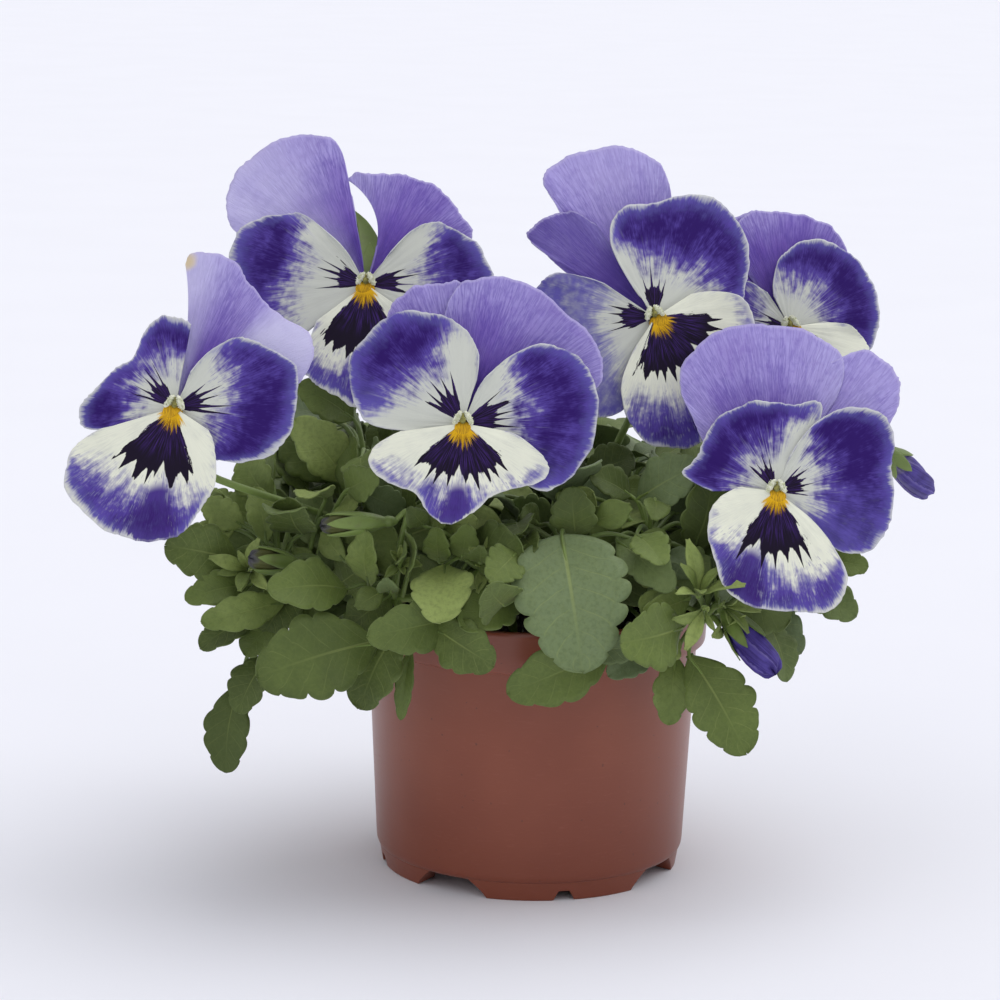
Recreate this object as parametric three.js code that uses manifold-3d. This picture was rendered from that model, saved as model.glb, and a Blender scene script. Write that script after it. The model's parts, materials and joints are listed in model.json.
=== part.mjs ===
// A flowering pansy in a round plastic pot: the pot on four low feet, the soil in it,
// six open blooms on hooked stalks, furled buds, and leafy stems with crenate leaves.
// Millimetres, +Z up. The origin is on the pot's axis at the surface it stands on.
// The front of the plant faces -Y, and azimuths are counted from +X towards +Y.
import * as THREE from 'three';
import { mergeVertices } from 'three/addons/utils/BufferGeometryUtils.js';
import Module from 'manifold-3d';

const wasm = await Module();
wasm.setup();

// ---- Driving dimensions ------------------------------------------------------------
const RIM_RADIUS = 60;            // a 12 cm pot
const POT_HEIGHT = 93.8;
const RIM_BAND = 14.6;            // height of the collar at the top
const BODY_TOP_RADIUS = 56.4;
const BODY_LOW_RADIUS = 52.9;
const WALL = 1.2;
const POT_SIDES = 32;

const FOOT_HEIGHT = 6;
const FOOT_COUNT = 4;
const FOOT_TURN = -77;            // azimuth of the first foot, a little right of the front
const FOOT_HALF_ANGLE = 29.5;     // on the ground
const FOOT_TOP_HALF_ANGLE = 37;   // where it meets the base
const FOOT_INNER_RADIUS = 43;
const FOOT_OUTER_RADIUS = 50.5;
const NOTCH_HALF_ANGLE = 4;
const NOTCH_TOP_HALF_ANGLE = 1.9;
const NOTCH_HEIGHT = 3.4;
const DRAIN_RADIUS = 4;
const DRAIN_CIRCLE = 34;

const GAP = 0.3;                  // air between two pieces that rest on each other
const SOIL_EDGE = 85;             // height of the soil at the wall
const SOIL_CROWN = 4;             // how much higher its middle is
const SOIL_SIDES = 20;
const HOLE_DEPTH = 11;            // how deep a stem stands in the soil

const BLADE = 0.8;                // thickness of petals and leaves
const STALK_RADIUS = 1.2;
const STEM_RADIUS = 1.5;
const PETIOLE_RADIUS = 0.9;
const VIEW_TILT = 11.2;           // the blooms face this many degrees above level

const COLOURS = {
  pot: { color: 0x8a4a35, roughness: 0.42 },
  soil: { color: 0x2c2620, roughness: 0.95 },
  upper: { color: 0x8c7dc8, roughness: 0.6 },
  face: { color: 0x4a35a0, roughness: 0.6 },
  bud: { color: 0x3a2a86, roughness: 0.6 },
  stalk: { color: 0x7d9a4a, roughness: 0.55 },
  leaf: { color: 0x4f6b35, roughness: 0.55 },
};

// ---- Small tools -------------------------------------------------------------------
const at = (x, y, z) => new THREE.Vector3(x, y, z);
const radians = THREE.MathUtils.degToRad;

// a repeatable draw between 0 and 1 for a whole number
function draw(key) {
  let h = (key * 2654435761) % 4294967296;
  h = ((h ^ (h >>> 15)) >>> 0) * 2246822519 % 4294967296;
  h = (h ^ (h >>> 13)) >>> 0;
  return h / 4294967296;
}

// A closed three.js geometry as a solid that can be joined and cut. Reading the corners
// backwards turns every triangle over, for one that was built inside out.
function solid(geometry) {
  const bare = geometry.clone();
  bare.deleteAttribute('normal');
  bare.deleteAttribute('uv');
  const merged = mergeVertices(bare, 1e-4);
  const vertProperties = new Float32Array(merged.attributes.position.array);
  const body = (triVerts) => (
    new wasm.Manifold(new wasm.Mesh({ numProp: 3, vertProperties, triVerts }))
  );
  const triVerts = new Uint32Array(merged.index.array);
  const first = body(triVerts);
  return first.volume() > 0 ? first : body(triVerts.reverse());
}

function fuse(solids) {
  return solids.reduce((whole, next) => whole.add(next));
}

function piece(name, body, look) {
  const { vertProperties, triVerts } = body.getMesh();
  const geometry = new THREE.BufferGeometry();
  geometry.setAttribute('position', new THREE.BufferAttribute(vertProperties, 3));
  geometry.setIndex(new THREE.BufferAttribute(triVerts, 1));
  geometry.computeVertexNormals();
  const material = new THREE.MeshStandardMaterial({ ...look, metalness: 0 });
  const mesh = new THREE.Mesh(geometry, material);
  mesh.name = name;
  return mesh;
}

// A thin blade from rows of points, each row thickened along a direction of its own.
// Front and back are split into triangles alike, so a waved blade never crosses itself.
function blade(rows, depths) {
  const count = rows[0].length;
  const points = rows.flat();
  const back = points.map((p, i) => p.clone().add(depths[Math.floor(i / count)]));
  const position = [...points, ...back].flatMap((p) => [p.x, p.y, p.z]);
  const offset = points.length;
  const index = [];
  const id = (r, c) => r * count + c;
  const last = rows.length - 1;
  for (let r = 0; r < last; r++) {
    for (let c = 0; c < count - 1; c++) {
      const quad = [id(r, c), id(r, c + 1), id(r + 1, c + 1), id(r + 1, c)];
      index.push(quad[0], quad[1], quad[2], quad[0], quad[2], quad[3]);
      index.push(quad[2] + offset, quad[1] + offset, quad[0] + offset);
      index.push(quad[3] + offset, quad[2] + offset, quad[0] + offset);
    }
  }
  const rim = [];
  for (let c = 0; c < count - 1; c++) rim.push([id(0, c + 1), id(0, c)]);
  for (let c = 0; c < count - 1; c++) rim.push([id(last, c), id(last, c + 1)]);
  for (let r = 0; r < last; r++) rim.push([id(r, 0), id(r + 1, 0)]);
  for (let r = 0; r < last; r++) rim.push([id(r + 1, count - 1), id(r, count - 1)]);
  for (const [a, b] of rim) index.push(a, b, b + offset, a, b + offset, a + offset);
  const geometry = new THREE.BufferGeometry();
  geometry.setAttribute('position', new THREE.Float32BufferAttribute(position, 3));
  geometry.setIndex(index);
  return solid(geometry);
}

// a round shoot along a smooth path
function shoot(path, radius, sides, steps) {
  const section = new THREE.Shape();
  for (let i = 0; i < sides; i++) {
    const turn = (2 * Math.PI * i) / sides;
    const x = radius * Math.cos(turn);
    const y = radius * Math.sin(turn);
    if (i === 0) section.moveTo(x, y);
    else section.lineTo(x, y);
  }
  section.closePath();
  const curve = new THREE.CatmullRomCurve3(path, false, 'centripetal');
  const settings = { steps, extrudePath: curve, bevelEnabled: false };
  return solid(new THREE.ExtrudeGeometry(section, settings));
}

// ---- Pot ---------------------------------------------------------------------------
function innerRadius(z) {
  const share = (z - FOOT_HEIGHT) / (POT_HEIGHT - RIM_BAND - FOOT_HEIGHT);
  const outer = BODY_LOW_RADIUS + (BODY_TOP_RADIUS - BODY_LOW_RADIUS) * share;
  return outer - WALL;
}

function potShell() {
  const collar = POT_HEIGHT - RIM_BAND;
  const floor = FOOT_HEIGHT + WALL;
  const profile = [
    [0, FOOT_HEIGHT], [BODY_LOW_RADIUS - 1.8, FOOT_HEIGHT],
    [BODY_LOW_RADIUS - 0.6, FOOT_HEIGHT + 0.6], [BODY_LOW_RADIUS, FOOT_HEIGHT + 2.2],
    [BODY_TOP_RADIUS, collar], [RIM_RADIUS - 0.8, collar + 0.5],
    [RIM_RADIUS, POT_HEIGHT - 0.8], [RIM_RADIUS - 0.8, POT_HEIGHT],
    [RIM_RADIUS - 1.9, POT_HEIGHT - 0.4], [RIM_RADIUS - 2.1, collar + 2],
    [innerRadius(collar), collar - 1], [innerRadius(floor), floor], [0, floor],
  ];
  const points = profile.map(([r, z]) => new THREE.Vector2(r, z));
  const lathe = new THREE.LatheGeometry(points, POT_SIDES);
  lathe.rotateX(Math.PI / 2);
  return solid(lathe);
}

// one foot: its side outline in degrees and height, bent round the axis
function potFoot(azimuth) {
  const outline = [];
  const run = (from, to, z0, z1, steps) => {
    for (let i = 0; i < steps; i++) {
      const t = i / steps;
      outline.push(new THREE.Vector2(from + (to - from) * t, z0 + (z1 - z0) * t));
    }
  };
  const top = FOOT_HEIGHT + 0.5;
  run(-FOOT_TOP_HALF_ANGLE, -FOOT_HALF_ANGLE, top, 0, 1);
  run(-FOOT_HALF_ANGLE, -NOTCH_HALF_ANGLE, 0, 0, 2);
  run(-NOTCH_HALF_ANGLE, -NOTCH_TOP_HALF_ANGLE, 0, NOTCH_HEIGHT, 1);
  run(-NOTCH_TOP_HALF_ANGLE, NOTCH_TOP_HALF_ANGLE, NOTCH_HEIGHT, NOTCH_HEIGHT, 1);
  run(NOTCH_TOP_HALF_ANGLE, NOTCH_HALF_ANGLE, NOTCH_HEIGHT, 0, 1);
  run(NOTCH_HALF_ANGLE, FOOT_HALF_ANGLE, 0, 0, 2);
  run(FOOT_HALF_ANGLE, FOOT_TOP_HALF_ANGLE, 0, top, 1);
  run(FOOT_TOP_HALF_ANGLE, -FOOT_TOP_HALF_ANGLE, top, top, 6);
  const depth = FOOT_OUTER_RADIUS - FOOT_INNER_RADIUS;
  const shape = new THREE.Shape(outline);
  const flat = new THREE.ExtrudeGeometry(shape, { depth, bevelEnabled: false });
  const p = flat.attributes.position;
  for (let i = 0; i < p.count; i++) {
    const turn = radians(azimuth + p.getX(i));
    const z = p.getY(i);
    const r = FOOT_INNER_RADIUS + p.getZ(i) * (1 + (0.2 * z) / depth);
    p.setXYZ(i, r * Math.cos(turn), r * Math.sin(turn), z);
  }
  return solid(flat);
}

function drainHole(x, y) {
  const cutter = new THREE.CylinderGeometry(DRAIN_RADIUS, DRAIN_RADIUS, 4, 6);
  cutter.rotateX(Math.PI / 2);
  cutter.translate(x, y, FOOT_HEIGHT);
  return solid(cutter);
}

function pot() {
  const feet = [];
  const holes = [drainHole(0, 0)];
  for (let i = 0; i < FOOT_COUNT; i++) {
    const azimuth = FOOT_TURN + (360 / FOOT_COUNT) * i;
    feet.push(potFoot(azimuth));
    const between = radians(azimuth + 180 / FOOT_COUNT);
    holes.push(drainHole(DRAIN_CIRCLE * Math.cos(between), DRAIN_CIRCLE * Math.sin(between)));
  }
  return fuse([potShell(), ...feet]).subtract(fuse(holes));
}

// ---- Soil --------------------------------------------------------------------------
function soilHeight(x, y) {
  const edge = Math.min(1, Math.hypot(x, y) / BODY_TOP_RADIUS);
  const clods = 0.9 * Math.sin(x * 0.31 + 1) * Math.cos(y * 0.27) + 0.6 * Math.sin(x * 0.13 - y * 0.36);
  return SOIL_EDGE + SOIL_CROWN * (1 - edge * edge) + clods * (1 - 0.5 * edge);
}

function soilMass() {
  const low = FOOT_HEIGHT + WALL + GAP;
  const rings = [14, 30, 45, innerRadius(SOIL_EDGE - 8) - GAP];
  const wallFoot = innerRadius(low + 1.4) - GAP - 1;
  const levels = [
    ...rings.map((r) => ({ r, z: null })),
    { r: wallFoot, z: low },
  ];
  const position = [0, 0, soilHeight(0, 0)];
  for (const { r, z } of levels) {
    for (let i = 0; i < SOIL_SIDES; i++) {
      const turn = (2 * Math.PI * i) / SOIL_SIDES;
      const x = r * Math.cos(turn);
      const y = r * Math.sin(turn);
      position.push(x, y, z ?? Math.min(soilHeight(x, y), POT_HEIGHT - RIM_BAND + 12));
    }
  }
  position.push(0, 0, low);
  const bottom = position.length / 3 - 1;
  const ring = (k, i) => 1 + k * SOIL_SIDES + (i % SOIL_SIDES);
  const index = [];
  for (let i = 0; i < SOIL_SIDES; i++) {
    index.push(0, ring(0, i), ring(0, i + 1));
    for (let k = 0; k < levels.length - 1; k++) {
      index.push(ring(k, i), ring(k + 1, i), ring(k + 1, i + 1));
      index.push(ring(k, i), ring(k + 1, i + 1), ring(k, i + 1));
    }
    index.push(bottom, ring(levels.length - 1, i + 1), ring(levels.length - 1, i));
  }
  const geometry = new THREE.BufferGeometry();
  geometry.setAttribute('position', new THREE.Float32BufferAttribute(position, 3));
  geometry.setIndex(index);
  return solid(geometry);
}

// A stem that stands in the soil, in a plain hole of its own.
const holes = [];
function rooted([x, y], path, radius, sides, steps) {
  const foot = soilHeight(x, y) - HOLE_DEPTH;
  const above = at(x, y, foot + HOLE_DEPTH + 3);
  const way = [at(x, y, foot), above, ...path];
  const wider = [at(x, y, foot - GAP), above, ...path];
  holes.push(shoot(wider, radius + 1.5 * GAP, sides, steps));
  return shoot(way, radius, sides, steps);
}

// ---- Blooms ------------------------------------------------------------------------
// Each petal is a fan about the bloom's eye. Its edge is a list of [clock degrees, mm]
// as seen from the front, where 0 is up and 90 is to the right.
const PETALS = {
  bloom_1: {
    eye: [-114, -87, 171], tilt: [0.2, -0.1], root: [-20, -8],
    lip: [[122, 13], [137, 19.7], [155, 29.1], [165, 33.2], [173, 38], [184, 42], [200, 43],
      [210, 44], [230, 42.9], [241, 39], [249, 33.5], [253, 24]],
    left: [[250, 19], [257, 29.5], [264, 31.2], [274, 29.8], [285, 26], [302, 22.9], [320, 21.3],
      [332, 23.4], [342, 28.6], [352, 30.6], [360, 29.6], [369, 26]],
    right: [[24, 12.2], [32, 22], [43, 30.4], [55, 34.2], [72, 40.1], [86, 38.2], [102, 37.2],
      [114, 34], [128, 27.5], [142, 20]],
    upper: [
      { edge: [[-8, 32], [0, 46.4], [10, 50.1], [19, 49.2], [28, 44], [38, 38], [46, 30]], back: 0 },
      { edge: [[14, 36], [22, 44], [33, 43.7], [43, 42.6], [58, 46.5], [66, 46.2], [76, 40],
        [82, 32]], back: 1.6 },
    ],
  },
  bloom_2: {
    eye: [-57.5, -18, 201.7], tilt: [0.1, -0.2], root: [-14, 8],
    lip: [[232, 20], [222, 27.2], [215, 35], [206, 37], [196, 38], [184, 41], [170, 39.1],
      [155, 37], [140, 32.5], [124, 21]],
    left: [[328, 12], [322, 22.5], [318, 31.5], [311, 36.5], [300, 43.4], [290, 47.4], [278, 46],
      [266, 41.6], [248, 34.6], [230, 25]],
    right: [[37, 13], [40, 25], [48, 31.6], [60, 36], [72, 40.1], [88, 42.4], [100, 41.1],
      [112, 36], [126, 25]],
    upper: [
      { edge: [[286, 34], [293, 48], [302, 55.3], [315, 58.3], [330, 57], [342, 53], [348, 46],
        [349, 26]], back: 0 },
      { edge: [[352, 31], [353, 37], [365, 37.4], [379, 39.4], [392, 40.4], [408, 39.6],
        [422, 38.8], [432, 34], [440, 26]], back: 1.4, twist: 16 },
    ],
  },
  bloom_3: {
    eye: [-24, -80, 166.2], tilt: [0, -0.05], root: [-4, -14],
    lip: [[99, 14], [106, 21.4], [113, 28.6], [120, 31.2], [132, 28.7], [148, 24.9], [160, 25],
      [172, 28], [186, 32.1], [200, 30], [213, 26.8], [226, 29], [243, 32], [253, 30],
      [262, 20]],
    left: [[262, 18], [270, 29.9], [285, 36.9], [302, 41.4], [318, 41.6], [332, 40.2],
      [346, 35.5], [360, 30.2], [370, 23.6], [376, 15]],
    right: [[22, 12], [28, 18], [34, 26], [44, 35.5], [58, 42], [75, 43.5], [90, 42.5],
      [108, 39.5], [122, 36.4], [131, 31], [136, 22]],
    upper: [
      { edge: [[344, 27], [354, 41], [362, 45.5], [376, 48.4], [400, 48.2], [418, 48.8],
        [429, 47], [436, 40], [440, 30]], back: 0 },
      { edge: [[306, 28], [314, 36.5], [324, 42], [336, 46], [348, 45.5], [360, 44],
        [368, 36]], back: 1.6 },
    ],
  },
  bloom_4: {
    eye: [38.2, -25, 193.2], tilt: [-0.15, -0.1], root: [9, 2],
    lip: [[213, 12], [206, 24.4], [197, 33], [188, 38.9], [178, 42.8], [165, 44.4], [150, 42.9],
      [130, 40.2], [112, 37.2], [95, 33.6], [84, 32], [72, 27], [56, 14]],
    left: [[302, 20], [294, 34.5], [284, 40], [270, 40.2], [252, 38.4], [235, 37.4], [218, 37.9],
      [206, 37.4], [196, 30]],
    right: [[324, 12], [327, 25], [333, 33.2], [343, 38], [356, 38], [370, 41.5], [384, 44.8],
      [396, 43.8], [412, 39.4], [428, 33], [440, 29], [446, 20]],
    upper: [
      { edge: [[288, 18], [295, 28], [300, 42], [303, 50], [313, 48.3], [322, 44.5], [328, 36]],
        back: 0 },
      { edge: [[314, 34], [319, 50], [321, 59], [330, 60.9], [345, 59.6], [356, 56], [364, 49.5],
        [369, 39]], back: 1.8 },
    ],
  },
  bloom_5: {
    eye: [86, 12, 185.3], tilt: [-0.25, -0.1], root: [22, 13],
    lip: [[80, 12], [86, 20], [95, 25], [103, 28], [115, 31], [135, 34], [155, 35], [175, 33],
      [193, 27], [206, 16]],
    left: [[226, 18], [236, 28], [252, 34], [270, 35], [288, 33], [304, 28], [316, 22], [326, 14]],
    right: [[332, 12], [346, 20.6], [358, 26.6], [372, 31.3], [392, 33.8], [412, 33.6],
      [432, 33], [450, 30.7], [464, 29], [478, 21]],
    upper: [
      { edge: [[350, 30], [358, 37.5], [370, 39.6], [382, 38.8], [394, 35.6], [406, 31],
        [418, 24]], back: 0 },
      { edge: [[290, 28], [300, 37], [314, 41], [330, 42.4], [346, 41.2], [360, 39], [372, 32]],
        back: 1.6 },
    ],
  },
  bloom_6: {
    eye: [76.4, -66, 143.3], tilt: [-0.1, -0.1], root: [28, -8],
    lip: [[126, 12], [133, 25.6], [139, 34.9], [147, 40], [156, 41.6], [168, 39.2], [190, 37.6],
      [206, 35.4], [218, 31.2], [234, 26.4], [252, 22.5], [266, 17], [276, 11]],
    left: [[270, 20], [280, 30.5], [288, 28.2], [300, 28], [320, 29.6], [340, 30], [358, 28.6],
      [374, 29.2], [388, 32], [394, 21]],
    right: [[22, 12], [29, 24.5], [37, 33], [48, 41], [58, 43.8], [70, 41.2], [82, 38.4],
      [98, 38.6], [112, 38], [124, 34.3], [132, 28], [135, 19]],
    upper: [
      { edge: [[300, 24], [311, 34], [317, 44], [326, 50.6], [340, 54], [356, 54.2], [374, 52.4],
        [388, 48.6], [394, 36]], back: 0 },
      { edge: [[16, 36], [26, 48], [33, 55], [42, 56.4], [50, 54.5], [57, 47.5], [64, 38],
        [70, 28]], back: 1.6 },
    ],
  },
};

const CLAW = 2.2;                 // petals start this far from the centre
const LIP_DEPTH = 1.7;              // height of each layer at the claw, towards the viewer
const SIDE_DEPTH = -0.5;
const UPPER_DEPTH = -3.4;
const ACROSS = 7;                 // steps across a petal

// the directions of a bloom: to its right, up its face, and out of it
function faceDirections() {
  const tilt = radians(VIEW_TILT);
  return {
    right: at(1, 0, 0),
    up: at(0, Math.sin(tilt), Math.cos(tilt)),
    out: at(0, -Math.cos(tilt), Math.sin(tilt)),
  };
}

// a point of a bloom, by clock angle, distance from the eye and height above its face
function onFace(bloom, clock, radius, height) {
  const { right, up, out } = faceDirections();
  const x = radius * Math.sin(radians(clock));
  const y = radius * Math.cos(radians(clock));
  const lift = height + bloom.tilt[0] * x + bloom.tilt[1] * y;
  return at(...bloom.eye)
    .addScaledVector(right, x)
    .addScaledVector(up, y)
    .addScaledVector(out, lift);
}

// a smooth curve through the edge points, read at a share from 0 to 1
function edgeAt(edge, share) {
  const points = edge.map(([clock, r]) => at(clock, r, 0));
  const curve = new THREE.CatmullRomCurve3(points, false, 'catmullrom', 0.5);
  return curve.getPoint(share);
}

// height of a petal's surface over the face, from its share across and along
function petalHeight(kind, u, v, r) {
  const wave = Math.sin(kind.waves * 2 * Math.PI * u + kind.phase) * kind.ruffle * v * v;
  const cup = kind.cup * (2 * u - 1) ** 2 * v;
  return kind.depth + kind.lean * r + cup + wave;
}

function petal(bloom, edge, kind) {
  const rows = [];
  for (let j = 0; j <= kind.along; j++) {
    const v = j / kind.along;
    const row = [];
    for (let i = 0; i <= ACROSS; i++) {
      const u = i / ACROSS;
      const rim = edgeAt(edge, u);
      const r = CLAW + (rim.y - CLAW) * v;
      const clock = rim.x + (kind.twist ?? 0) * (1 - v) * (1 - u);
      row.push(onFace(bloom, clock, r, petalHeight(kind, u, v, r)));
    }
    rows.push(row);
  }
  return blade(rows, rows.map(() => faceDirections().out.multiplyScalar(-BLADE)));
}

const LIP = { depth: LIP_DEPTH, lean: 0.03, cup: -1.2, ruffle: 0.9, waves: 2, phase: 0.6, along: 2 };
const LEFT = { depth: SIDE_DEPTH, lean: -0.06, cup: 1, ruffle: 0.8, waves: 1.5, phase: 2, along: 1 };
const RIGHT = { depth: SIDE_DEPTH, lean: -0.06, cup: 1, ruffle: 0.8, waves: 1.5, phase: 0.4, along: 1 };
const UPPER = { depth: UPPER_DEPTH, lean: -0.2, cup: -1.5, ruffle: 1, waves: 1, phase: 1, along: 1 };

// a short round pad between two heights, which joins the claws of the petals
function pad(bloom, radius, low, high) {
  const rows = [low, high].map((height) => {
    const ring = [];
    for (let i = 0; i < 6; i++) ring.push(onFace(bloom, i * 60, radius, height));
    return ring;
  });
  return drum(rows);
}

// a closed solid from rings of points, capped at both ends
function drum(rings) {
  const count = rings[0].length;
  const first = rings[0].reduce((s, p) => s.add(p), at(0, 0, 0)).divideScalar(count);
  const lastRing = rings[rings.length - 1];
  const last = lastRing.reduce((s, p) => s.add(p), at(0, 0, 0)).divideScalar(count);
  const points = [...rings.flat(), first, last];
  const id = (k, i) => k * count + (i % count);
  const lowest = rings.length * count;
  const index = [];
  for (let i = 0; i < count; i++) {
    index.push(lowest, id(0, i), id(0, i + 1));
    for (let k = 0; k < rings.length - 1; k++) {
      index.push(id(k, i), id(k + 1, i), id(k + 1, i + 1));
      index.push(id(k, i), id(k + 1, i + 1), id(k, i + 1));
    }
    index.push(lowest + 1, id(rings.length - 1, i + 1), id(rings.length - 1, i));
  }
  const geometry = new THREE.BufferGeometry();
  const flat = points.flatMap((p) => [p.x, p.y, p.z]);
  geometry.setAttribute('position', new THREE.Float32BufferAttribute(flat, 3));
  geometry.setIndex(index);
  return solid(geometry);
}

function bloomFace(bloom) {
  return fuse([
    petal(bloom, bloom.left, LEFT),
    petal(bloom, bloom.right, RIGHT),
    petal(bloom, bloom.lip, LIP),
    pad(bloom, 3.2, -2.2, 2),
  ]);
}

function bloomUppers(bloom) {
  const petals = bloom.upper.map(({ edge, back, twist }) => (
    petal(bloom, edge, { ...UPPER, depth: UPPER_DEPTH - back, twist })
  ));
  return fuse([...petals, pad(bloom, 3.2, -6.4, -2.6)]);
}

// five pointed sepals, a spur and the hooked stalk behind the petals
const SEPAL_LENGTH = 15;
function sepal(bloom, clock) {
  const behindUppers = Math.cos(radians(clock)) > -0.2;
  const slope = behindUppers ? -0.3 : -0.16;
  const depth = behindUppers ? -7.4 : -7;
  const rows = [[1, 1.2], [7, 2.3], [SEPAL_LENGTH, 0.4]].map(([r, half]) => (
    [-1, 1].map((side) => {
      const swing = (side * half * 57.3) / r;
      return onFace(bloom, clock + swing, Math.hypot(r, side * half), depth + slope * r);
    })
  ));
  return blade(rows, rows.map(() => faceDirections().out.multiplyScalar(-BLADE)));
}

function bloomStalk(bloom) {
  const parts = [pad(bloom, 2.6, -9.4, -6.8)];
  for (const clock of [2, 72, 142, 218, 288]) parts.push(sepal(bloom, clock));
  parts.push(shoot([onFace(bloom, 180, 1, -8), onFace(bloom, 180, 7, -14)], 1.4, 4, 1));
  const neck = onFace(bloom, 180, 14, -21);
  const path = [
    at(...bloom.root, SOIL_EDGE).lerp(neck, 0.45).add(at(0, 0, 8)),
    neck, onFace(bloom, 0, 3, -18), onFace(bloom, 0, 1.5, -8.6),
  ];
  parts.push(rooted(bloom.root, path, STALK_RADIUS, 4, 8));
  return fuse(parts);
}

// ---- Leafy stems -------------------------------------------------------------------
// A leaf is [base], [tip], width, roll in degrees about its own length.
const STEMS = {
  left: {
    root: [-36, -18], path: [[-60, -34, 104], [-84, -46, 110]],
    leaves: [
      [[-97, -52, 115], [-119, -60, 121], 18, 0],
      [[-93, -54, 107], [-112, -66, 105], 12, 10],
      [[-81, -58, 103], [-106, -72, 99], 12, -10],
      [[-89, -50, 97], [-108, -60, 88], 13, 15],
      [[-88, -48, 120], [-92, -44, 137], 10, 30],
      [[-98, -40, 126], [-109, -42, 137], 10, -20],
      [[-86, -54, 84], [-96, -62, 67], 15, 10],
      [[-97, -46, 72], [-101, -54, 45], 16, -8],
    ],
  },
  front_left: {
    root: [-22, -34], path: [[-32, -46, 102], [-46, -58, 104]],
    leaves: [
      [[-50, -70, 93], [-87, -82, 84], 27, 0],
      [[-44, -64, 96], [-56, -72, 72], 20, 12],
      [[-25, -66, 100], [-52, -84, 98], 17, -10],
      [[-61, -62, 108], [-84, -82, 112], 17, 10],
      [[-53, -58, 108], [-54, -66, 127], 12, -15],
      [[-40, -64, 90], [-43, -67, 67], 6, 0],
    ],
  },
  front: {
    root: [-7, -38], path: [[-11, -48, 106], [-18, -56, 114]],
    leaves: [
      [[-29, -64, 117], [-30, -86, 104], 20, 0],
      [[-5, -62, 107], [-23, -80, 101], 16, 8],
      [[-31, -60, 117], [-32, -70, 130], 9, 0],
      [[-24, -60, 118], [-22, -70, 131], 10, 12],
      [[-7, -58, 105], [-7, -60, 128], 9, 20],
    ],
  },
  front_right: {
    root: [9, -40], path: [[10, -50, 108], [9, -58, 122]],
    leaves: [
      [[8, -66, 128], [15, -84, 89], 36, 0],
      [[25, -64, 90], [-7, -78, 79], 20, -8],
      [[13, -56, 124], [11, -62, 142], 15, -12],
      [[15, -64, 90], [34, -70, 92], 10, 10],
    ],
  },
  right: {
    root: [25, -30], path: [[32, -42, 110], [37, -46, 124]],
    leaves: [
      [[31, -40, 136], [18, -46, 144], 12, 10],
      [[33, -42, 135], [52, -48, 148], 17, -8],
      [[51, -46, 119], [57, -50, 145], 20, 12],
      [[26, -58, 125], [43, -74, 113], 14, 0],
      [[50, -62, 107], [35, -76, 105], 10, -10],
      [[39, -60, 91], [25, -70, 83], 11, 8],
    ],
  },
  low_right: {
    root: [41, -22], path: [[52, -42, 100], [56, -56, 99]],
    leaves: [
      [[50, -66, 89], [68, -78, 61], 22, 0],
      [[46, -62, 88], [44, -68, 67], 12, 20],
      [[76, -46, 97], [83, -52, 78], 12, -12],
      [[46, -64, 96], [38, -72, 87], 10, 0],
      [[62, -58, 104], [60, -70, 118], 12, 10],
    ],
  },
  far_right: {
    root: [46, -4], path: [[70, -14, 106], [90, -18, 112]],
    leaves: [
      [[96, -20, 111], [111, -24, 110], 10, 0],
      [[90, -26, 104], [106, -36, 96], 14, 12],
      [[80, -16, 114], [92, -22, 134], 14, -20],
      [[72, -26, 98], [88, -38, 84], 15, 10],
    ],
  },
  left_high: {
    root: [-28, 6], path: [[-46, -12, 116], [-57, -22, 142]],
    leaves: [
      [[-62, -22, 158], [-79, -30, 170], 14, 0],
      [[-63, -28, 137], [-79, -36, 158], 17, 20],
      [[-60, -34, 130], [-61, -32, 152], 10, -20],
      [[-49, -42, 116], [-51, -40, 145], 12, 18],
      [[-40, -40, 120], [-42, -38, 141], 10, -25],
    ],
  },
};

// Buds: the violet petals, still furled, and the sepals and stalk that grow from a stem.
const BUDS = {
  bud_1: { on: 'low_right', base: [61, -62, 103], tip: [77, -76, 86], width: 11, neck: 7 },
  bud_2: { on: 'back_right', base: [126, 58, 135], tip: [144, 79, 116], width: 11, neck: 6 },
  bud_3: { on: 'front_left', base: [-48, -64, 131], tip: [-69, -67, 130], width: 7, neck: 3 },
  bud_4: { on: 'left', base: [-76, -60, 115], tip: [-92, -67, 119], width: 8, neck: 3 },
};
const BUD_TWIST = 70;             // turn of the furled petals from base to tip, degrees

// a frame of three directions with the given axis
function framed(axis) {
  const side = axis.clone().cross(at(0, 0, 1)).normalize();
  return { side, front: side.clone().cross(axis) };
}

function budRing(bud, share, radius, sides, pinch) {
  const base = at(...bud.base);
  const axis = at(...bud.tip).sub(base);
  const { side, front } = framed(axis.clone().normalize());
  const middle = base.addScaledVector(axis, share);
  const ring = [];
  for (let i = 0; i < sides; i++) {
    const turn = radians((360 * i) / sides + BUD_TWIST * share);
    const r = radius * (i % 2 ? 1 - pinch : 1);
    ring.push(middle.clone()
      .addScaledVector(side, r * Math.cos(turn))
      .addScaledVector(front, r * Math.sin(turn)));
  }
  return ring;
}

function budPetals(bud) {
  const half = bud.width / 2;
  const profile = [[0.05, 0.42], [0.3, 0.95], [0.7, 0.85], [1, 0.12]];
  return drum(profile.map(([share, wide]) => budRing(bud, share, half * wide, 6, 0.2)));
}

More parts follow.
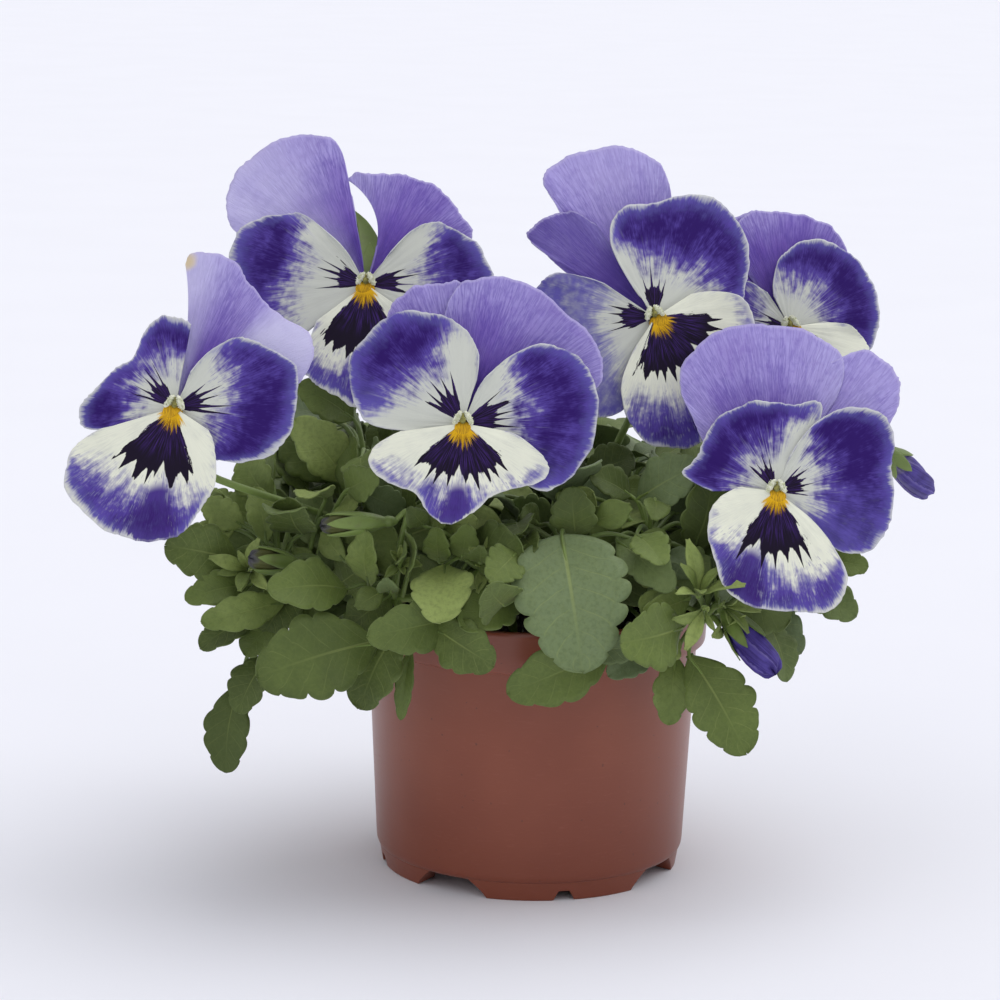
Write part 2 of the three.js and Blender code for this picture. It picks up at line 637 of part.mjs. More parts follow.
function budGreen(bud, curve) {
  const base = at(...bud.base);
  const axis = at(...bud.tip).sub(base);
  const length = axis.length();
  axis.normalize();
  const half = bud.width / 2;
  const cup = [[-3 / length, 1.2], [0.05 - GAP / length, 2]];
  const parts = [drum(cup.map(([share, r]) => budRing(bud, share, r, 5, 0)))];
  const { side, front } = framed(axis);
  for (let i = 0; i < 3; i++) {
    const turn = radians(120 * i + 20);
    const out = side.clone().multiplyScalar(Math.cos(turn)).addScaledVector(front, Math.sin(turn));
    const across = axis.clone().cross(out);
    const rows = [[-1.5, 1, 1.1], [0.3 * length, half + 1.4, 1.8], [0.6 * length, half + 1.6, 0.4]];
    const strip = rows.map(([far, r, wide]) => [-1, 1].map((s) => base.clone()
      .addScaledVector(axis, far)
      .addScaledVector(out, r)
      .addScaledVector(across, s * wide)));
    parts.push(blade(strip, rows.map(() => out.clone().multiplyScalar(BLADE))));
  }
  const start = nearestPoint(curve, base);
  const bend = base.clone().addScaledVector(axis, -6).add(at(0, 0, bud.neck));
  const lift = start.clone().lerp(bend, 0.5).add(at(0, 0, bud.neck));
  const end = base.clone().addScaledVector(axis, -2);
  parts.push(shoot([start, lift, bend, end], 1, 4, 5));
  return fuse(parts);
}

// The other stems carry leaves by a rule: [azimuth, root radius, reach, top, leaves].
// The outer ring hangs over the rim at the sides and the back, the inner ones stand.
const RING_STEMS = {
  side_right: [-4, 40, 66, 112, 3],
  back_right: [28, 38, 70, 114, 4],
  back_right_2: [58, 40, 67, 110, 4],
  back: [90, 38, 62, 114, 4],
  back_left_2: [122, 40, 67, 110, 4],
  back_left: [152, 38, 70, 114, 4],
  side_left: [184, 40, 64, 112, 3],
};
const INNER_STEMS = {
  inner_right: [20, 20, 34, 128, 3],
  inner_back: [88, 22, 36, 130, 3],
  inner_left: [150, 22, 36, 128, 3],
  inner_front: [-80, 20, 30, 124, 3],
};

function polar(azimuth, r, z) {
  const turn = radians(azimuth);
  return at(r * Math.cos(turn), r * Math.sin(turn), z);
}

// a stem that leans out along an azimuth, with leaves by turns to its left and right
function ruledStem([azimuth, rootRadius, reach, top, count], key) {
  const root = polar(azimuth, rootRadius, 0);
  const path = [
    polar(azimuth, rootRadius + 0.45 * (reach - rootRadius), top - 12),
    polar(azimuth, reach, top),
  ];
  const hangs = reach > RIM_RADIUS;
  const grown = [];
  for (let i = 0; i < count; i++) {
    const dice = [1, 2, 3, 4].map((n) => draw(100 * key + 10 * i + n));
    const last = i === count - 1;
    const share = 0.45 + (0.55 * i) / (count - 1);
    const node = path[0].clone().lerp(path[1], share);
    const turn = azimuth + (last ? 0 : (i % 2 ? 1 : -1) * (38 + 34 * dice[0]));
    const rise = hangs ? 30 - 34 * ((i * 2) % 3) - 16 * dice[1] : 34 - 30 * dice[1];
    const length = 27 + 9 * dice[2];
    const base = node.clone().add(polar(turn, 7 + 5 * dice[3], 2 + 3 * dice[1]));
    const tip = base.clone().add(polar(
      turn,
      length * Math.cos(radians(rise)),
      length * Math.sin(radians(rise)),
    ));
    grown.push([base.toArray(), tip.toArray(), 24 + 7 * dice[0], 24 * (dice[2] - 0.5)]);
  }
  return { root: [root.x, root.y], path: path.map((p) => p.toArray()), leaves: grown };
}

// Which way a leaf's upper side looks: away from the heart of the plant, those at the
// front also to the front, the others also upwards.
const HEART = at(0, 26, 74);
const LOOKS = { front: at(0, -1, 0.25), ring: at(0, 0, 0.5), inner: at(0, 0, 1.6) };
function outlook(point, kind) {
  return point.clone().sub(HEART).normalize().add(LOOKS[kind]).normalize();
}

// half width of the leaf along its length, from 0 at the base to 1 at the tip
function leafProfile(v) {
  return Math.sin(Math.PI * v ** 1.25) ** 0.75;
}

function leafLobes(width, kind) {
  if (kind !== 'front' || width < 22) return 2;
  return width < 30 ? 3 : 4;
}

// A leaf's rows of points: the flat petiole from the stem, then the blade, whose edge
// has rounded teeth. It arches along its length and folds up a little at both sides.
function leafRows(start, base, tip, width, look, roll, kind) {
  const along = tip.clone().sub(base);
  const length = along.length();
  const axis = along.clone().normalize();
  const up = look.clone().addScaledVector(axis, -look.dot(axis)).normalize();
  up.applyAxisAngle(axis, radians(roll));
  const side = axis.clone().cross(up);
  const strips = 2 * leafLobes(width, kind) + 1;
  const across = kind === 'front' && width >= 25 ? [-1, 0, 1] : [-1, 1];
  const rows = [];
  const ups = [];
  for (let k = 0; k <= strips; k++) {
    const v = (k / strips) ** 0.85;
    const tooth = k % 2 === 1 ? 1.08 : 0.84;
    const least = k === strips ? 0.34 : 0.12;
    const half = (width / 2) * Math.max(least, Math.min(1, leafProfile(v) * tooth));
    const arch = 0.1 * length * Math.sin(Math.PI * v);
    const forward = k % 2 === 1 ? 0.02 * length : 0;
    rows.push(across.map((s) => base.clone()
      .addScaledVector(along, v)
      .addScaledVector(up, arch + Math.abs(s) * 0.22 * half)
      .addScaledVector(side, s * half)
      .addScaledVector(axis, Math.abs(s) * forward)));
    ups.push(up);
  }
  const bend = start.clone().lerp(base, 0.6).add(at(0, 0, 3));
  let next = base;
  let turned = up;
  for (const point of [bend, start]) {
    const ahead = next.clone().sub(point).normalize();
    turned = turned.clone().addScaledVector(ahead, -turned.dot(ahead)).normalize();
    const wide = ahead.clone().cross(turned);
    const row = across.map((s) => point.clone().addScaledVector(wide, s * PETIOLE_RADIUS));
    rows.unshift(row);
    ups.unshift(turned);
    next = point;
  }
  return { rows, ups };
}

function leafBlade({ rows, ups }, thickness) {
  const front = rows.map((row, k) => row.map((p) => (
    p.clone().addScaledVector(ups[k], thickness / 2)
  )));
  return blade(front, ups.map((up) => up.clone().multiplyScalar(-thickness)));
}

// the point of a stem, above the rim, that a shoot to the given place starts from
function nearestPoint(curve, base) {
  let best = null;
  for (let i = 1; i <= 24; i++) {
    const p = curve.getPoint(i / 24);
    if (p.z < POT_HEIGHT + 4) continue;
    const cost = p.distanceTo(base) + 0.5 * Math.max(0, p.z - base.z + 4);
    if (!best || cost < best.cost) best = { cost, p };
  }
  return best.p;
}

const placed = [];                // every solid so far, with the name of its piece
const SHIFTS = [0, 2.5, -2.5, 5, -5, 8, -8];
const SWINGS = [0, 12, -12, 24, -24, 36, -36];

function isClear(body, own) {
  return placed.every(({ name, body: other }) => (
    name === own || body.intersect(other).isEmpty()
  ));
}

// A leaf that would cross another piece is moved along its own upper side and swung
// about its base in small steps until it is clear.
function growLeaf(name, curve, leaf, kind) {
  const [b, t, width, roll] = leaf;
  for (const swing of SWINGS) {
    for (const shift of SHIFTS) {
      const base = at(...b);
      const look = outlook(base.clone().lerp(at(...t), 0.5), kind);
      const tip = at(...t).sub(base).applyAxisAngle(look, radians(swing)).add(base);
      base.addScaledVector(look, shift);
      tip.addScaledVector(look, shift);
      const start = nearestPoint(curve, base);
      const grid = leafRows(start, base, tip, width, look, roll, kind);
      if (!isClear(leafBlade(grid, BLADE + 2 * GAP), name)) continue;
      return leafBlade(grid, BLADE);
    }
  }
  return null;
}

// the bare stem with its bud stalks
function bareStem(name, stem) {
  const path = stem.path.map((p) => at(...p));
  const start = at(...stem.root, SOIL_EDGE + 3);
  const curve = new THREE.CatmullRomCurve3([start, ...path], false, 'centripetal');
  const trunk = rooted(stem.root, path, STEM_RADIUS, 4, 4);
  placed.push({ name, body: trunk });
  for (const bud of Object.values(BUDS).filter(({ on }) => `stem_${on}` === name)) {
    placed.push({ name, body: budGreen(bud, curve) });
  }
  return curve;
}

function leaves(name, stem, curve, kind) {
  for (const leaf of stem.leaves) {
    const grown = growLeaf(name, curve, leaf, kind);
    if (grown) placed.push({ name, body: grown });
  }
}

// ---- Assembly ----------------------------------------------------------------------
const place = (name, body) => placed.push({ name, body });
place('pot', pot());
for (const [name, bloom] of Object.entries(PETALS)) {
  place(`${name}_face`, bloomFace(bloom));
  place(`${name}_upper_petals`, bloomUppers(bloom));
  place(`${name}_stalk`, bloomStalk(bloom));
}
for (const [name, bud] of Object.entries(BUDS)) place(`${name}_petals`, budPetals(bud));

const stems = Object.entries(STEMS).map(([name, stem]) => [name, stem, 'front']);
Object.entries(RING_STEMS).forEach(([name, rule], i) => {
  stems.push([name, ruledStem(rule, i), 'ring']);
});
Object.entries(INNER_STEMS).forEach(([name, rule], i) => {
  stems.push([name, ruledStem(rule, i + 20), 'inner']);
});
const curves = stems.map(([name, stem]) => bareStem(`stem_${name}`, stem));
stems.forEach(([name, stem, kind], i) => leaves(`stem_${name}`, stem, curves[i], kind));
place('soil', soilMass().subtract(fuse(holes)));

function lookOf(name) {
  const kinds = [['upper', 'upper'], ['face', 'face'], ['stalk', 'stalk'], ['bud', 'bud'],
    ['stem', 'leaf'], ['soil', 'soil']];
  const kind = kinds.find(([word]) => name.includes(word));
  return COLOURS[kind ? kind[1] : 'pot'];
}

const plantGroup = new THREE.Group();
for (const name of new Set(placed.map((part) => part.name))) {
  const bodies = placed.filter((part) => part.name === name).map((part) => part.body);
  plantGroup.add(piece(name, fuse(bodies), lookOf(name)));
}
export default plantGroup;
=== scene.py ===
# %% [markdown]
# # A pansy in a plastic pot
# A compact garden pansy with six open blooms, four buds and a mound of scalloped
# leaves grows in a round brown pot. The shapes were first made as plain solids; this
# notebook dresses each of them: petals with ruffles and painted zones, leaves with
# veins, a turned pot with a soft sheen and crumbly soil.
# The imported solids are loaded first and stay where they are, as a fixed frame.

# %% Load the frame
import json
import math
from functools import partialmethod

import bpy
import numpy as np
from mathutils import Matrix, Quaternion, Vector
from mathutils.bvhtree import BVHTree

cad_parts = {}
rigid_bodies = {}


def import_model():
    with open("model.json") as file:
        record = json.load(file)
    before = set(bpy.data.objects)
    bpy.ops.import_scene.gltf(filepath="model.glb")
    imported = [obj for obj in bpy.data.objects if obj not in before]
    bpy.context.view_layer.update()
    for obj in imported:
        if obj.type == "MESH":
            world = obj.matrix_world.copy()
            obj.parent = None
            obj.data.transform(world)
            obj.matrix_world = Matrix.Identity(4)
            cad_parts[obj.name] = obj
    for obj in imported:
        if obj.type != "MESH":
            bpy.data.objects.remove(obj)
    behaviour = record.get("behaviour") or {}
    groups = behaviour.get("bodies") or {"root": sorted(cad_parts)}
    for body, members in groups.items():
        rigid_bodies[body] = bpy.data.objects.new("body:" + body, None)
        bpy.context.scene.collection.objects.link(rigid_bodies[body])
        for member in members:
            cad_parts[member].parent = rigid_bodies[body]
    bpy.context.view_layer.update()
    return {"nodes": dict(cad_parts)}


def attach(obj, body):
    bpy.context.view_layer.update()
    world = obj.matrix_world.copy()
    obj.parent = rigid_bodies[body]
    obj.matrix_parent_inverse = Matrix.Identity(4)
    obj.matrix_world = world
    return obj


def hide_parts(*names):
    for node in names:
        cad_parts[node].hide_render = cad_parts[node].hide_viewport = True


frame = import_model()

MM = 0.001  # lengths below are in millimetres, Blender's are in metres
bpy.ops.object.select_all(action="DESELECT")

# %% [markdown]
# ## The camera
# The photograph was taken with a long lens from a little over a metre, looking down by
# about eleven degrees. A long lens keeps the round rim of the pot a flat ellipse. The
# camera is placed first, because later cells ask where a leaf would land in the picture.

# %% Camera at the photograph's viewing angle
PICTURE = 1000  # pixels across and down
LENS, SENSOR = 119.08, 36.0
EYE_POINT = Vector((-11.95, -1106.5, 344.7))
PITCH, ROLL = math.radians(11.18), math.radians(0.91)


def camera_axes():
    """The camera's own right, up and forward directions."""
    forward = Vector((0, math.cos(PITCH), -math.sin(PITCH)))
    level, rise = Vector((1, 0, 0)), Vector((0, math.sin(PITCH), math.cos(PITCH)))
    right = level * math.cos(ROLL) + rise * math.sin(ROLL)
    up = rise * math.cos(ROLL) - level * math.sin(ROLL)
    return right, up, forward


def in_picture(point):
    """The pixel of the photograph on which a point in millimetres lands."""
    right, up, forward = camera_axes()
    ray = Vector(point) - EYE_POINT
    zoom = LENS / SENSOR * PICTURE / ray.dot(forward)
    return PICTURE / 2 + zoom * ray.dot(right), PICTURE / 2 - zoom * ray.dot(up)


def new_object(name, data):
    made = bpy.data.objects.new(name, data)
    bpy.context.scene.collection.objects.link(made)
    return made


def place_camera():
    data = bpy.data.cameras.new("photo_camera")
    data.lens, data.sensor_width = LENS, SENSOR
    data.clip_start, data.clip_end = 0.05, 60
    camera = new_object("photo_camera", data)
    right, up, forward = camera_axes()
    turned = Matrix((right, up, -forward)).transposed().to_4x4()
    camera.matrix_world = Matrix.Translation(EYE_POINT * MM) @ turned
    bpy.context.scene.camera = camera


place_camera()
print("the pot's foot lands on pixel", [round(c) for c in in_picture((0, 0, 0))])

# %% [markdown]
# ## Working tools
# Almost every piece is a sheet: a petal and a leaf are thin, and their shape is a rule
# of two shares, `across` and `along`. Blender's grid primitive is such a sheet. Its
# corners are moved by the rule, it keeps the grid's UV map, and a Solidify modifier gives
# it thickness. Stems are tubes: a curve with a round bevel, converted to a mesh. Chance
# comes from `draw`, which gives the same number for the same key, run after run.

# %% Sheets, thickness and tubes
def pick(*objects):
    """Selects just these objects; the first one is the active one."""
    bpy.ops.object.select_all(action="DESELECT")
    for thing in objects:
        thing.select_set(True)
    bpy.context.view_layer.objects.active = objects[0]


def corners(thing):
    """The places of a mesh's corners in metres, one row each."""
    places = np.zeros(len(thing.data.vertices) * 3)
    thing.data.vertices.foreach_get("co", places)
    return places.reshape(-1, 3)


def sheet(name, columns, rows):
    """A flat grid; returns it with each corner's share across and along, from 0 to 1."""
    bpy.ops.mesh.primitive_grid_add(x_subdivisions=columns, y_subdivisions=rows, size=1)
    made = bpy.context.object
    made.name = name
    return made, *(corners(made) + 0.5).T[:2]


def mould(thing, points):
    """Moves the corners of a mesh to these places in millimetres."""
    thing.data.vertices.foreach_set("co", (np.asarray(points) * MM).ravel())
    thing.data.update()


def paint(thing, name, *values):
    """Keeps three numbers at every corner, for the finish to read."""
    layer = thing.data.attributes.new(name, "FLOAT_VECTOR", "POINT")
    columns = np.broadcast_arrays(*values, np.zeros(len(thing.data.vertices)))[:3]
    layer.data.foreach_set("vector", np.stack(columns, 1).astype(np.float32).ravel())


def edit(thing, *steps):
    """Runs edit mode steps on all of a mesh, each an operator with its settings."""
    pick(thing)
    bpy.ops.object.mode_set(mode="EDIT")
    for step, settings in steps:
        bpy.ops.mesh.select_all(action="SELECT")
        step(**settings)
    bpy.ops.object.mode_set(mode="OBJECT")


MERGE = (bpy.ops.mesh.remove_doubles, {"threshold": 0.02 * MM})
OUTWARD = (bpy.ops.mesh.normals_make_consistent, {"inside": False})


def apply_modifier(thing, kind, **settings):
    pick(thing)
    step = thing.modifiers.new("step", kind)
    for key, value in settings.items():
        setattr(step, key, value)
    bpy.ops.object.modifier_apply(modifier=step.name)


def join(name, things):
    pick(*things)
    if len(things) > 1:
        bpy.ops.object.join()
    made = bpy.context.object
    made.name = name
    made.data.name = name
    return made


def smooth(thing):
    pick(thing)
    bpy.ops.object.shade_smooth()


def copy_of(pattern):
    """A copy of a piece, with its own mesh."""
    made = pattern.copy()
    made.data = pattern.data.copy()
    bpy.context.scene.collection.objects.link(made)
    return made


def catmull(points, share, centripetal=True):
    """A point of the smooth curve through the given points, at a share from 0 to 1."""
    last = len(points) - 1
    where = share * last
    i = min(int(where), last - 1)
    w = where - i
    p1, p2 = points[i], points[i + 1]
    p0 = points[i - 1] if i > 0 else 2 * points[0] - points[1]
    p3 = points[i + 2] if i + 2 <= last else 2 * points[last] - points[last - 1]
    if centripetal:
        d0, d1, d2 = ((b - a).length ** 0.5 for a, b in ((p0, p1), (p1, p2), (p2, p3)))
        d1 = d1 if d1 > 1e-4 else 1
        d0, d2 = (d if d > 1e-4 else d1 for d in (d0, d2))
        t1 = ((p1 - p0) / d0 - (p2 - p0) / (d0 + d1) + (p2 - p1) / d1) * d1
        t2 = ((p2 - p1) / d1 - (p3 - p1) / (d1 + d2) + (p3 - p2) / d2) * d1
    else:
        t1, t2 = (p2 - p0) / 2, (p3 - p1) / 2
    return (p1 + t1 * w + (-3 * p1 + 3 * p2 - 2 * t1 - t2) * w**2
            + (2 * p1 - 2 * p2 + t1 + t2) * w**3)


def taper(knots, steps, radius, loss=0.0):
    """A smooth way through knots for tubes(), thinner at its end by the loss."""
    return [(catmull(knots, i / steps), radius - loss * i / steps) for i in range(steps + 1)]


def tubes(name, ways):
    """Round shoots. Each way is a list of (point, radius) in millimetres."""
    data = bpy.data.curves.new(name, "CURVE")
    data.dimensions = "3D"
    data.bevel_depth = MM
    data.bevel_resolution = 3
    data.use_fill_caps = True
    for way in ways:
        line = data.splines.new("POLY")
        line.points.add(len(way) - 1)
        for knot, (point, radius) in zip(line.points, way):
            knot.co = (*(Vector(point) * MM), 1)
            knot.radius = radius
    pick(new_object(name, data))
    bpy.ops.object.convert(target="MESH")
    made = bpy.context.object
    made.name = name
    bpy.ops.object.shade_smooth()
    return made


WRAP = 2**32  # draws are made with whole numbers below this
STIR_1, STIR_2 = 2654435761, 2246822519  # large odd numbers that scatter neighbouring keys


def draw(key):
    """A repeatable draw between 0 and 1 for a whole number."""
    h = key * STIR_1 % WRAP
    h = int(math.fmod(float(h ^ (h >> 15)) * float(STIR_2), float(WRAP)))
    h ^= h >> 13
    return h / WRAP


def keep(piece, node=None):
    """The piece rides with the plant and may stand for a solid, which is then hidden."""
    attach(piece, "root")
    if node:
        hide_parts(node)
    return piece


print("first draws:", [round(draw(n), 3) for n in range(4)])

# %% [markdown]
# ## Writing a finish
# A finish is a small program of shader nodes. `Wire` holds one socket and understands
# + - * / with numbers or other wires, each of which adds a Math node. `Finish` owns the
# material and makes any other node from its type, its settings and its inputs.

# %% Wires and finishes
def rgb(r, g, b):
    """A colour as seen on a screen, 0 to 255, as the light that a shader works with."""
    def light(c):
        c /= 255
        return c / 12.92 if c <= 0.04045 else ((c + 0.055) / 1.055) ** 2.4
    return light(r), light(g), light(b), 1.0


class Wire:
    """One socket of a finish's node tree."""

    def __init__(self, finish, socket):
        self.finish, self.socket = finish, socket

    def maths(self, operation, *values):
        inputs = dict(enumerate((self, *values)))
        return self.finish.node("Math", {"operation": operation}, inputs)

    __add__ = __radd__ = partialmethod(maths, "ADD")
    __mul__ = __rmul__ = partialmethod(maths, "MULTIPLY")
    __sub__ = partialmethod(maths, "SUBTRACT")
    __truediv__ = partialmethod(maths, "DIVIDE")
    __pow__ = partialmethod(maths, "POWER")
    __abs__ = partialmethod(maths, "ABSOLUTE")
    cosine = partialmethod(maths, "COSINE")
    fraction = partialmethod(maths, "FRACT")
    most = partialmethod(maths, "MAXIMUM")
    least = partialmethod(maths, "MINIMUM")

    def __rsub__(self, other):
        return self.finish.node("Math", {"operation": "SUBTRACT"}, {0: other, 1: self})

    def __neg__(self):
        return self * -1.0

    def step(self, low, high):
        """0 below low, 1 above high, and a soft step between."""
        inputs = {"Value": self, "From Min": low, "From Max": high}
        return self.finish.node("MapRange", {"interpolation_type": "SMOOTHSTEP"}, inputs)

    def fall(self, low, high):
        """1 below low, 0 above high."""
        return 1.0 - self.step(low, high)

    def swing(self, size):
        """A noise's swing to both sides of nothing."""
        return (self - 0.5) * size


class Finish:
    """A material with one Principled shader."""

    def __init__(self, name, **constants):
        self.material = bpy.data.materials.new(name)
        self.material.use_nodes = True
        self.tree = self.material.node_tree
        self.tree.nodes.clear()
        self.shader = self.tree.nodes.new("ShaderNodeBsdfPrincipled")
        output = self.tree.nodes.new("ShaderNodeOutputMaterial")
        self.tree.links.new(self.shader.outputs[0], output.inputs[0])
        for key, value in constants.items():
            self.shader.inputs[key.replace("_", " ")].default_value = value

    def node(self, kind, settings=None, inputs=None, output=0):
        made = self.tree.nodes.new("ShaderNode" + kind)
        for key, value in (settings or {}).items():
            setattr(made, key, value)
        for key, value in (inputs or {}).items():
            if isinstance(value, Wire):
                self.tree.links.new(value.socket, made.inputs[key])
            else:
                made.inputs[key].default_value = value
        return Wire(self, made.outputs[output])

    def parts(self, wire):
        return [self.node("SeparateXYZ", None, {0: wire}, i) for i in range(3)]

    def painted(self, name):
        """The three numbers that paint() kept, as three wires."""
        return self.parts(self.node("Attribute", {"attribute_name": name}, None, "Vector"))

    def vector(self, x, y, z=0.0):
        return self.node("CombineXYZ", None, {0: x, 1: y, 2: z})

    def noise(self, vector, scale=1.0, detail=2.0, roughness=0.5):
        inputs = {"Vector": vector, "Scale": scale, "Detail": detail, "Roughness": roughness}
        return self.node("TexNoise", None, inputs)

    def place(self):
        return self.node("TexCoord", None, None, "Object")

    def mix(self, share, a, b):
        """Colour a where share is 0 and colour b where it is 1."""
        inputs = {0: share, 6: a, 7: b}
        return self.node("Mix", {"data_type": "RGBA"}, inputs, 2)

    def bump(self, height, depth, strength=1.0):
        inputs = {"Height": height, "Distance": depth * MM, "Strength": strength}
        self.feed("Normal", self.node("Bump", None, inputs))

    def feed(self, socket, wire):
        self.tree.links.new(wire.socket, self.shader.inputs[socket])

    def dress(self, thing):
        thing.data.materials.append(self.material)
        return thing


print("a mid grey is", round(rgb(128, 128, 128)[0], 3), "of full light")

# %% [markdown]
# ## The pot
# The real pot is moulded in terracotta-brown plastic: a wall barely over a millimetre,
# a collar at the top, and four low feet with a small notch in each, so water drains from
# the holes in the base. Its section is drawn once and spun round the axis, which gives a
# finer circle than the solid has; the feet are grids bent round the same axis.

# %% Section of the pot
RIM_RADIUS, POT_HEIGHT, RIM_BAND = 60, 93.8, 14.6
BODY_TOP, BODY_LOW, WALL = 56.4, 52.9, 1.2
FOOT_HEIGHT = 6  # of the base above the ground
COLLAR = POT_HEIGHT - RIM_BAND


def inner_radius(z):
    share = (z - FOOT_HEIGHT) / (COLLAR - FOOT_HEIGHT)
    return BODY_LOW + (BODY_TOP - BODY_LOW) * share - WALL


SECTION = [
    (4.2, 6.0), (51.0, 6.0), (51.9, 6.25), (52.5, 6.9), (52.85, 7.9), (53.0, 9.2),
    (54.6, 42), (56.3, 78.2), (56.45, 78.9), (56.9, 79.25), (58.6, 79.45), (59.1, 79.75),
    (59.3, 80.5), (59.55, 86), (59.75, 91.2), (60.0, 92.0), (60.05, 92.8), (59.8, 93.45),
    (59.2, 93.75), (58.6, 93.7), (58.15, 93.3), (58.0, 92.4), (57.9, 81.6), (57.5, 80.2),
    (56.3, 79.0), (55.3, 78.0), (53.6, 42), (51.9, 9.0), (51.3, 7.7), (50.2, 7.2),
    (4.2, 7.2),
]
print("section points:", len(SECTION))

# %% Spin the section, then bend the feet
SPIN_STEPS = 144
FOOT_COUNT, FOOT_TURN = 4, -77
FOOT_HALF, FOOT_FLARE, FOOT_TOP = 29.5, 7.5, 6.5  # degrees, degrees more at its top, mm
NOTCH_HALF, NOTCH_SLOPE, NOTCH_HIGH = 4.0, 2.1, 3.4  # degrees, degrees, mm
FOOT_INSIDE, FOOT_LEAN, FOOT_THICK = 50.9, 0.17, 7.4
DRAIN_RADIUS, DRAIN_CIRCLE, DRILL_MIDDLE, DRILL_LENGTH = 4, 34, 6.6, 4


def spun_shell():
    mesh = bpy.data.meshes.new("pot_wall")
    ring = [(r * MM, 0, z * MM) for r, z in SECTION]
    mesh.from_pydata(ring, [(i, (i + 1) % len(ring)) for i in range(len(ring))], [])
    wall = new_object("pot_wall", mesh)
    turn = {"steps": SPIN_STEPS, "angle": 2 * math.pi, "center": (0, 0, 0), "axis": (0, 0, 1)}
    edit(wall, (bpy.ops.mesh.spin, turn), MERGE, OUTWARD)
    return wall


def foot(azimuth):
    """One foot: a wall with sloping ends and a notch at its middle, on the ground."""
    made, u, v = sheet("pot_foot", 60, 8)
    turn = np.abs(u * 2 - 1)
    side = np.sign(u * 2 - 1)
    low = NOTCH_HIGH * np.clip((NOTCH_HALF - turn * FOOT_HALF) / NOTCH_SLOPE, 0, 1)
    z = low + (FOOT_TOP - low) * v
    half = FOOT_HALF + FOOT_FLARE * (z / FOOT_TOP) ** 1.3
    angle = np.radians(azimuth + side * turn * half)
    radius = FOOT_INSIDE + FOOT_LEAN * z
    mould(made, np.stack([radius * np.cos(angle), radius * np.sin(angle), z], 1))
    apply_modifier(made, "SOLIDIFY", thickness=FOOT_THICK * MM, offset=-1, use_even_offset=False)
    apply_modifier(made, "BEVEL", width=0.35 * MM, segments=2, limit_method="ANGLE",
                   angle_limit=math.radians(40))
    return made


def drill(wall):
    """Round holes through the base, one between each pair of feet."""
    drills = []
    for i in range(FOOT_COUNT):
        turn = math.radians(FOOT_TURN + (360 / FOOT_COUNT) * (i + 0.5))
        place = Vector((DRAIN_CIRCLE * math.cos(turn), DRAIN_CIRCLE * math.sin(turn), DRILL_MIDDLE))
        bpy.ops.mesh.primitive_cylinder_add(
            vertices=32, radius=DRAIN_RADIUS * MM, depth=DRILL_LENGTH * MM, location=place * MM)
        drills.append(bpy.context.object)
    cutter = join("drills", drills)
    apply_modifier(wall, "BOOLEAN", operation="DIFFERENCE", object=cutter, solver="EXACT")
    bpy.data.objects.remove(cutter)


wall = spun_shell()
drill(wall)
feet = [foot(FOOT_TURN + (360 / FOOT_COUNT) * i) for i in range(FOOT_COUNT)]
pot = join("round_pot", [wall, *feet])
pick(pot)
bpy.ops.object.transform_apply(location=True, rotation=True, scale=True)
bpy.ops.object.shade_smooth_by_angle(angle=math.radians(32))
keep(pot, "pot")
print("pot faces:", len(pot.data.polygons))

# %% [markdown]
# ### Plastic
# Moulded plastic has an even colour with a slow drift in it, a silky gloss, faint rings
# left by the mould, and a few specks and scuffs. The colour feeds Base Color and the
# scuffs make the surface a little rougher where they are. Painted shade darkens the
# colour towards the foot.

# %% Brown plastic finish
def plastic_finish():
    skin = Finish("brown_plastic", Specular_IOR_Level=0.5)
    place = skin.place()
    x, y, z = skin.parts(place)
    drift = skin.noise(place, 28, 2)
    stretched = skin.vector(x, y, z * 6.0)
    scuff = skin.noise(stretched, 240, 3, 0.65).step(0.55, 0.8)
    speck = skin.noise(place, 620, 1).step(0.765, 0.79)
    height = z * 1000.0
    collar = height.step(78.5, 80.0)
    body = skin.mix(drift.step(0.3, 0.7), rgb(136, 70, 46), rgb(128, 63, 40))
    body = skin.mix(collar * 0.4, body, rgb(140, 76, 58))
    # painted shade: the body turns darker towards the foot, where less light reaches it
    body = skin.mix((1.0 - height.step(4.0, 58.0)) * 0.5, body, rgb(104, 44, 24))
    body = skin.mix(scuff * 0.12, body, rgb(168, 110, 92))
    skin.feed("Base Color", skin.mix(speck * 0.5, body, rgb(70, 42, 34)))
    skin.feed("Roughness", scuff * 0.1 + drift * 0.06 + 0.31)
    rings = (z * 5200.0).cosine() * 0.12
    skin.bump(skin.noise(place, 420, 2) * 0.5 + rings + scuff * 0.3, 0.06, 0.35)
    return skin


plastic_finish().dress(pot)
print("dressed:", pot.name)

# %% [markdown]
# ## The soil
# Potting soil is dark peat with crumbs of every size and white grains of perlite. A grid
# is mapped to a disc, lifted by the same hills as the solid and pushed down to the base
# of the pot. The crumbs and the grains are turned and sized copies of two small stones.

# %% Soil surface
SOIL_EDGE, SOIL_CROWN, SOIL_RADIUS = 85, 4, 54.9
SOIL_LOW = FOOT_HEIGHT + WALL + 0.3
SMOOTH_RIM = 54.5  # the grit on the soil fades out over the last 3 mm before this radius


def soil_height(x, y):
    edge = min(1, math.hypot(x, y) / BODY_TOP)
    clods = (0.9 * math.sin(x * 0.31 + 1) * math.cos(y * 0.27)
             + 0.6 * math.sin(x * 0.13 - y * 0.36))
    return SOIL_EDGE + SOIL_CROWN * (1 - edge * edge) + clods * (1 - 0.5 * edge)


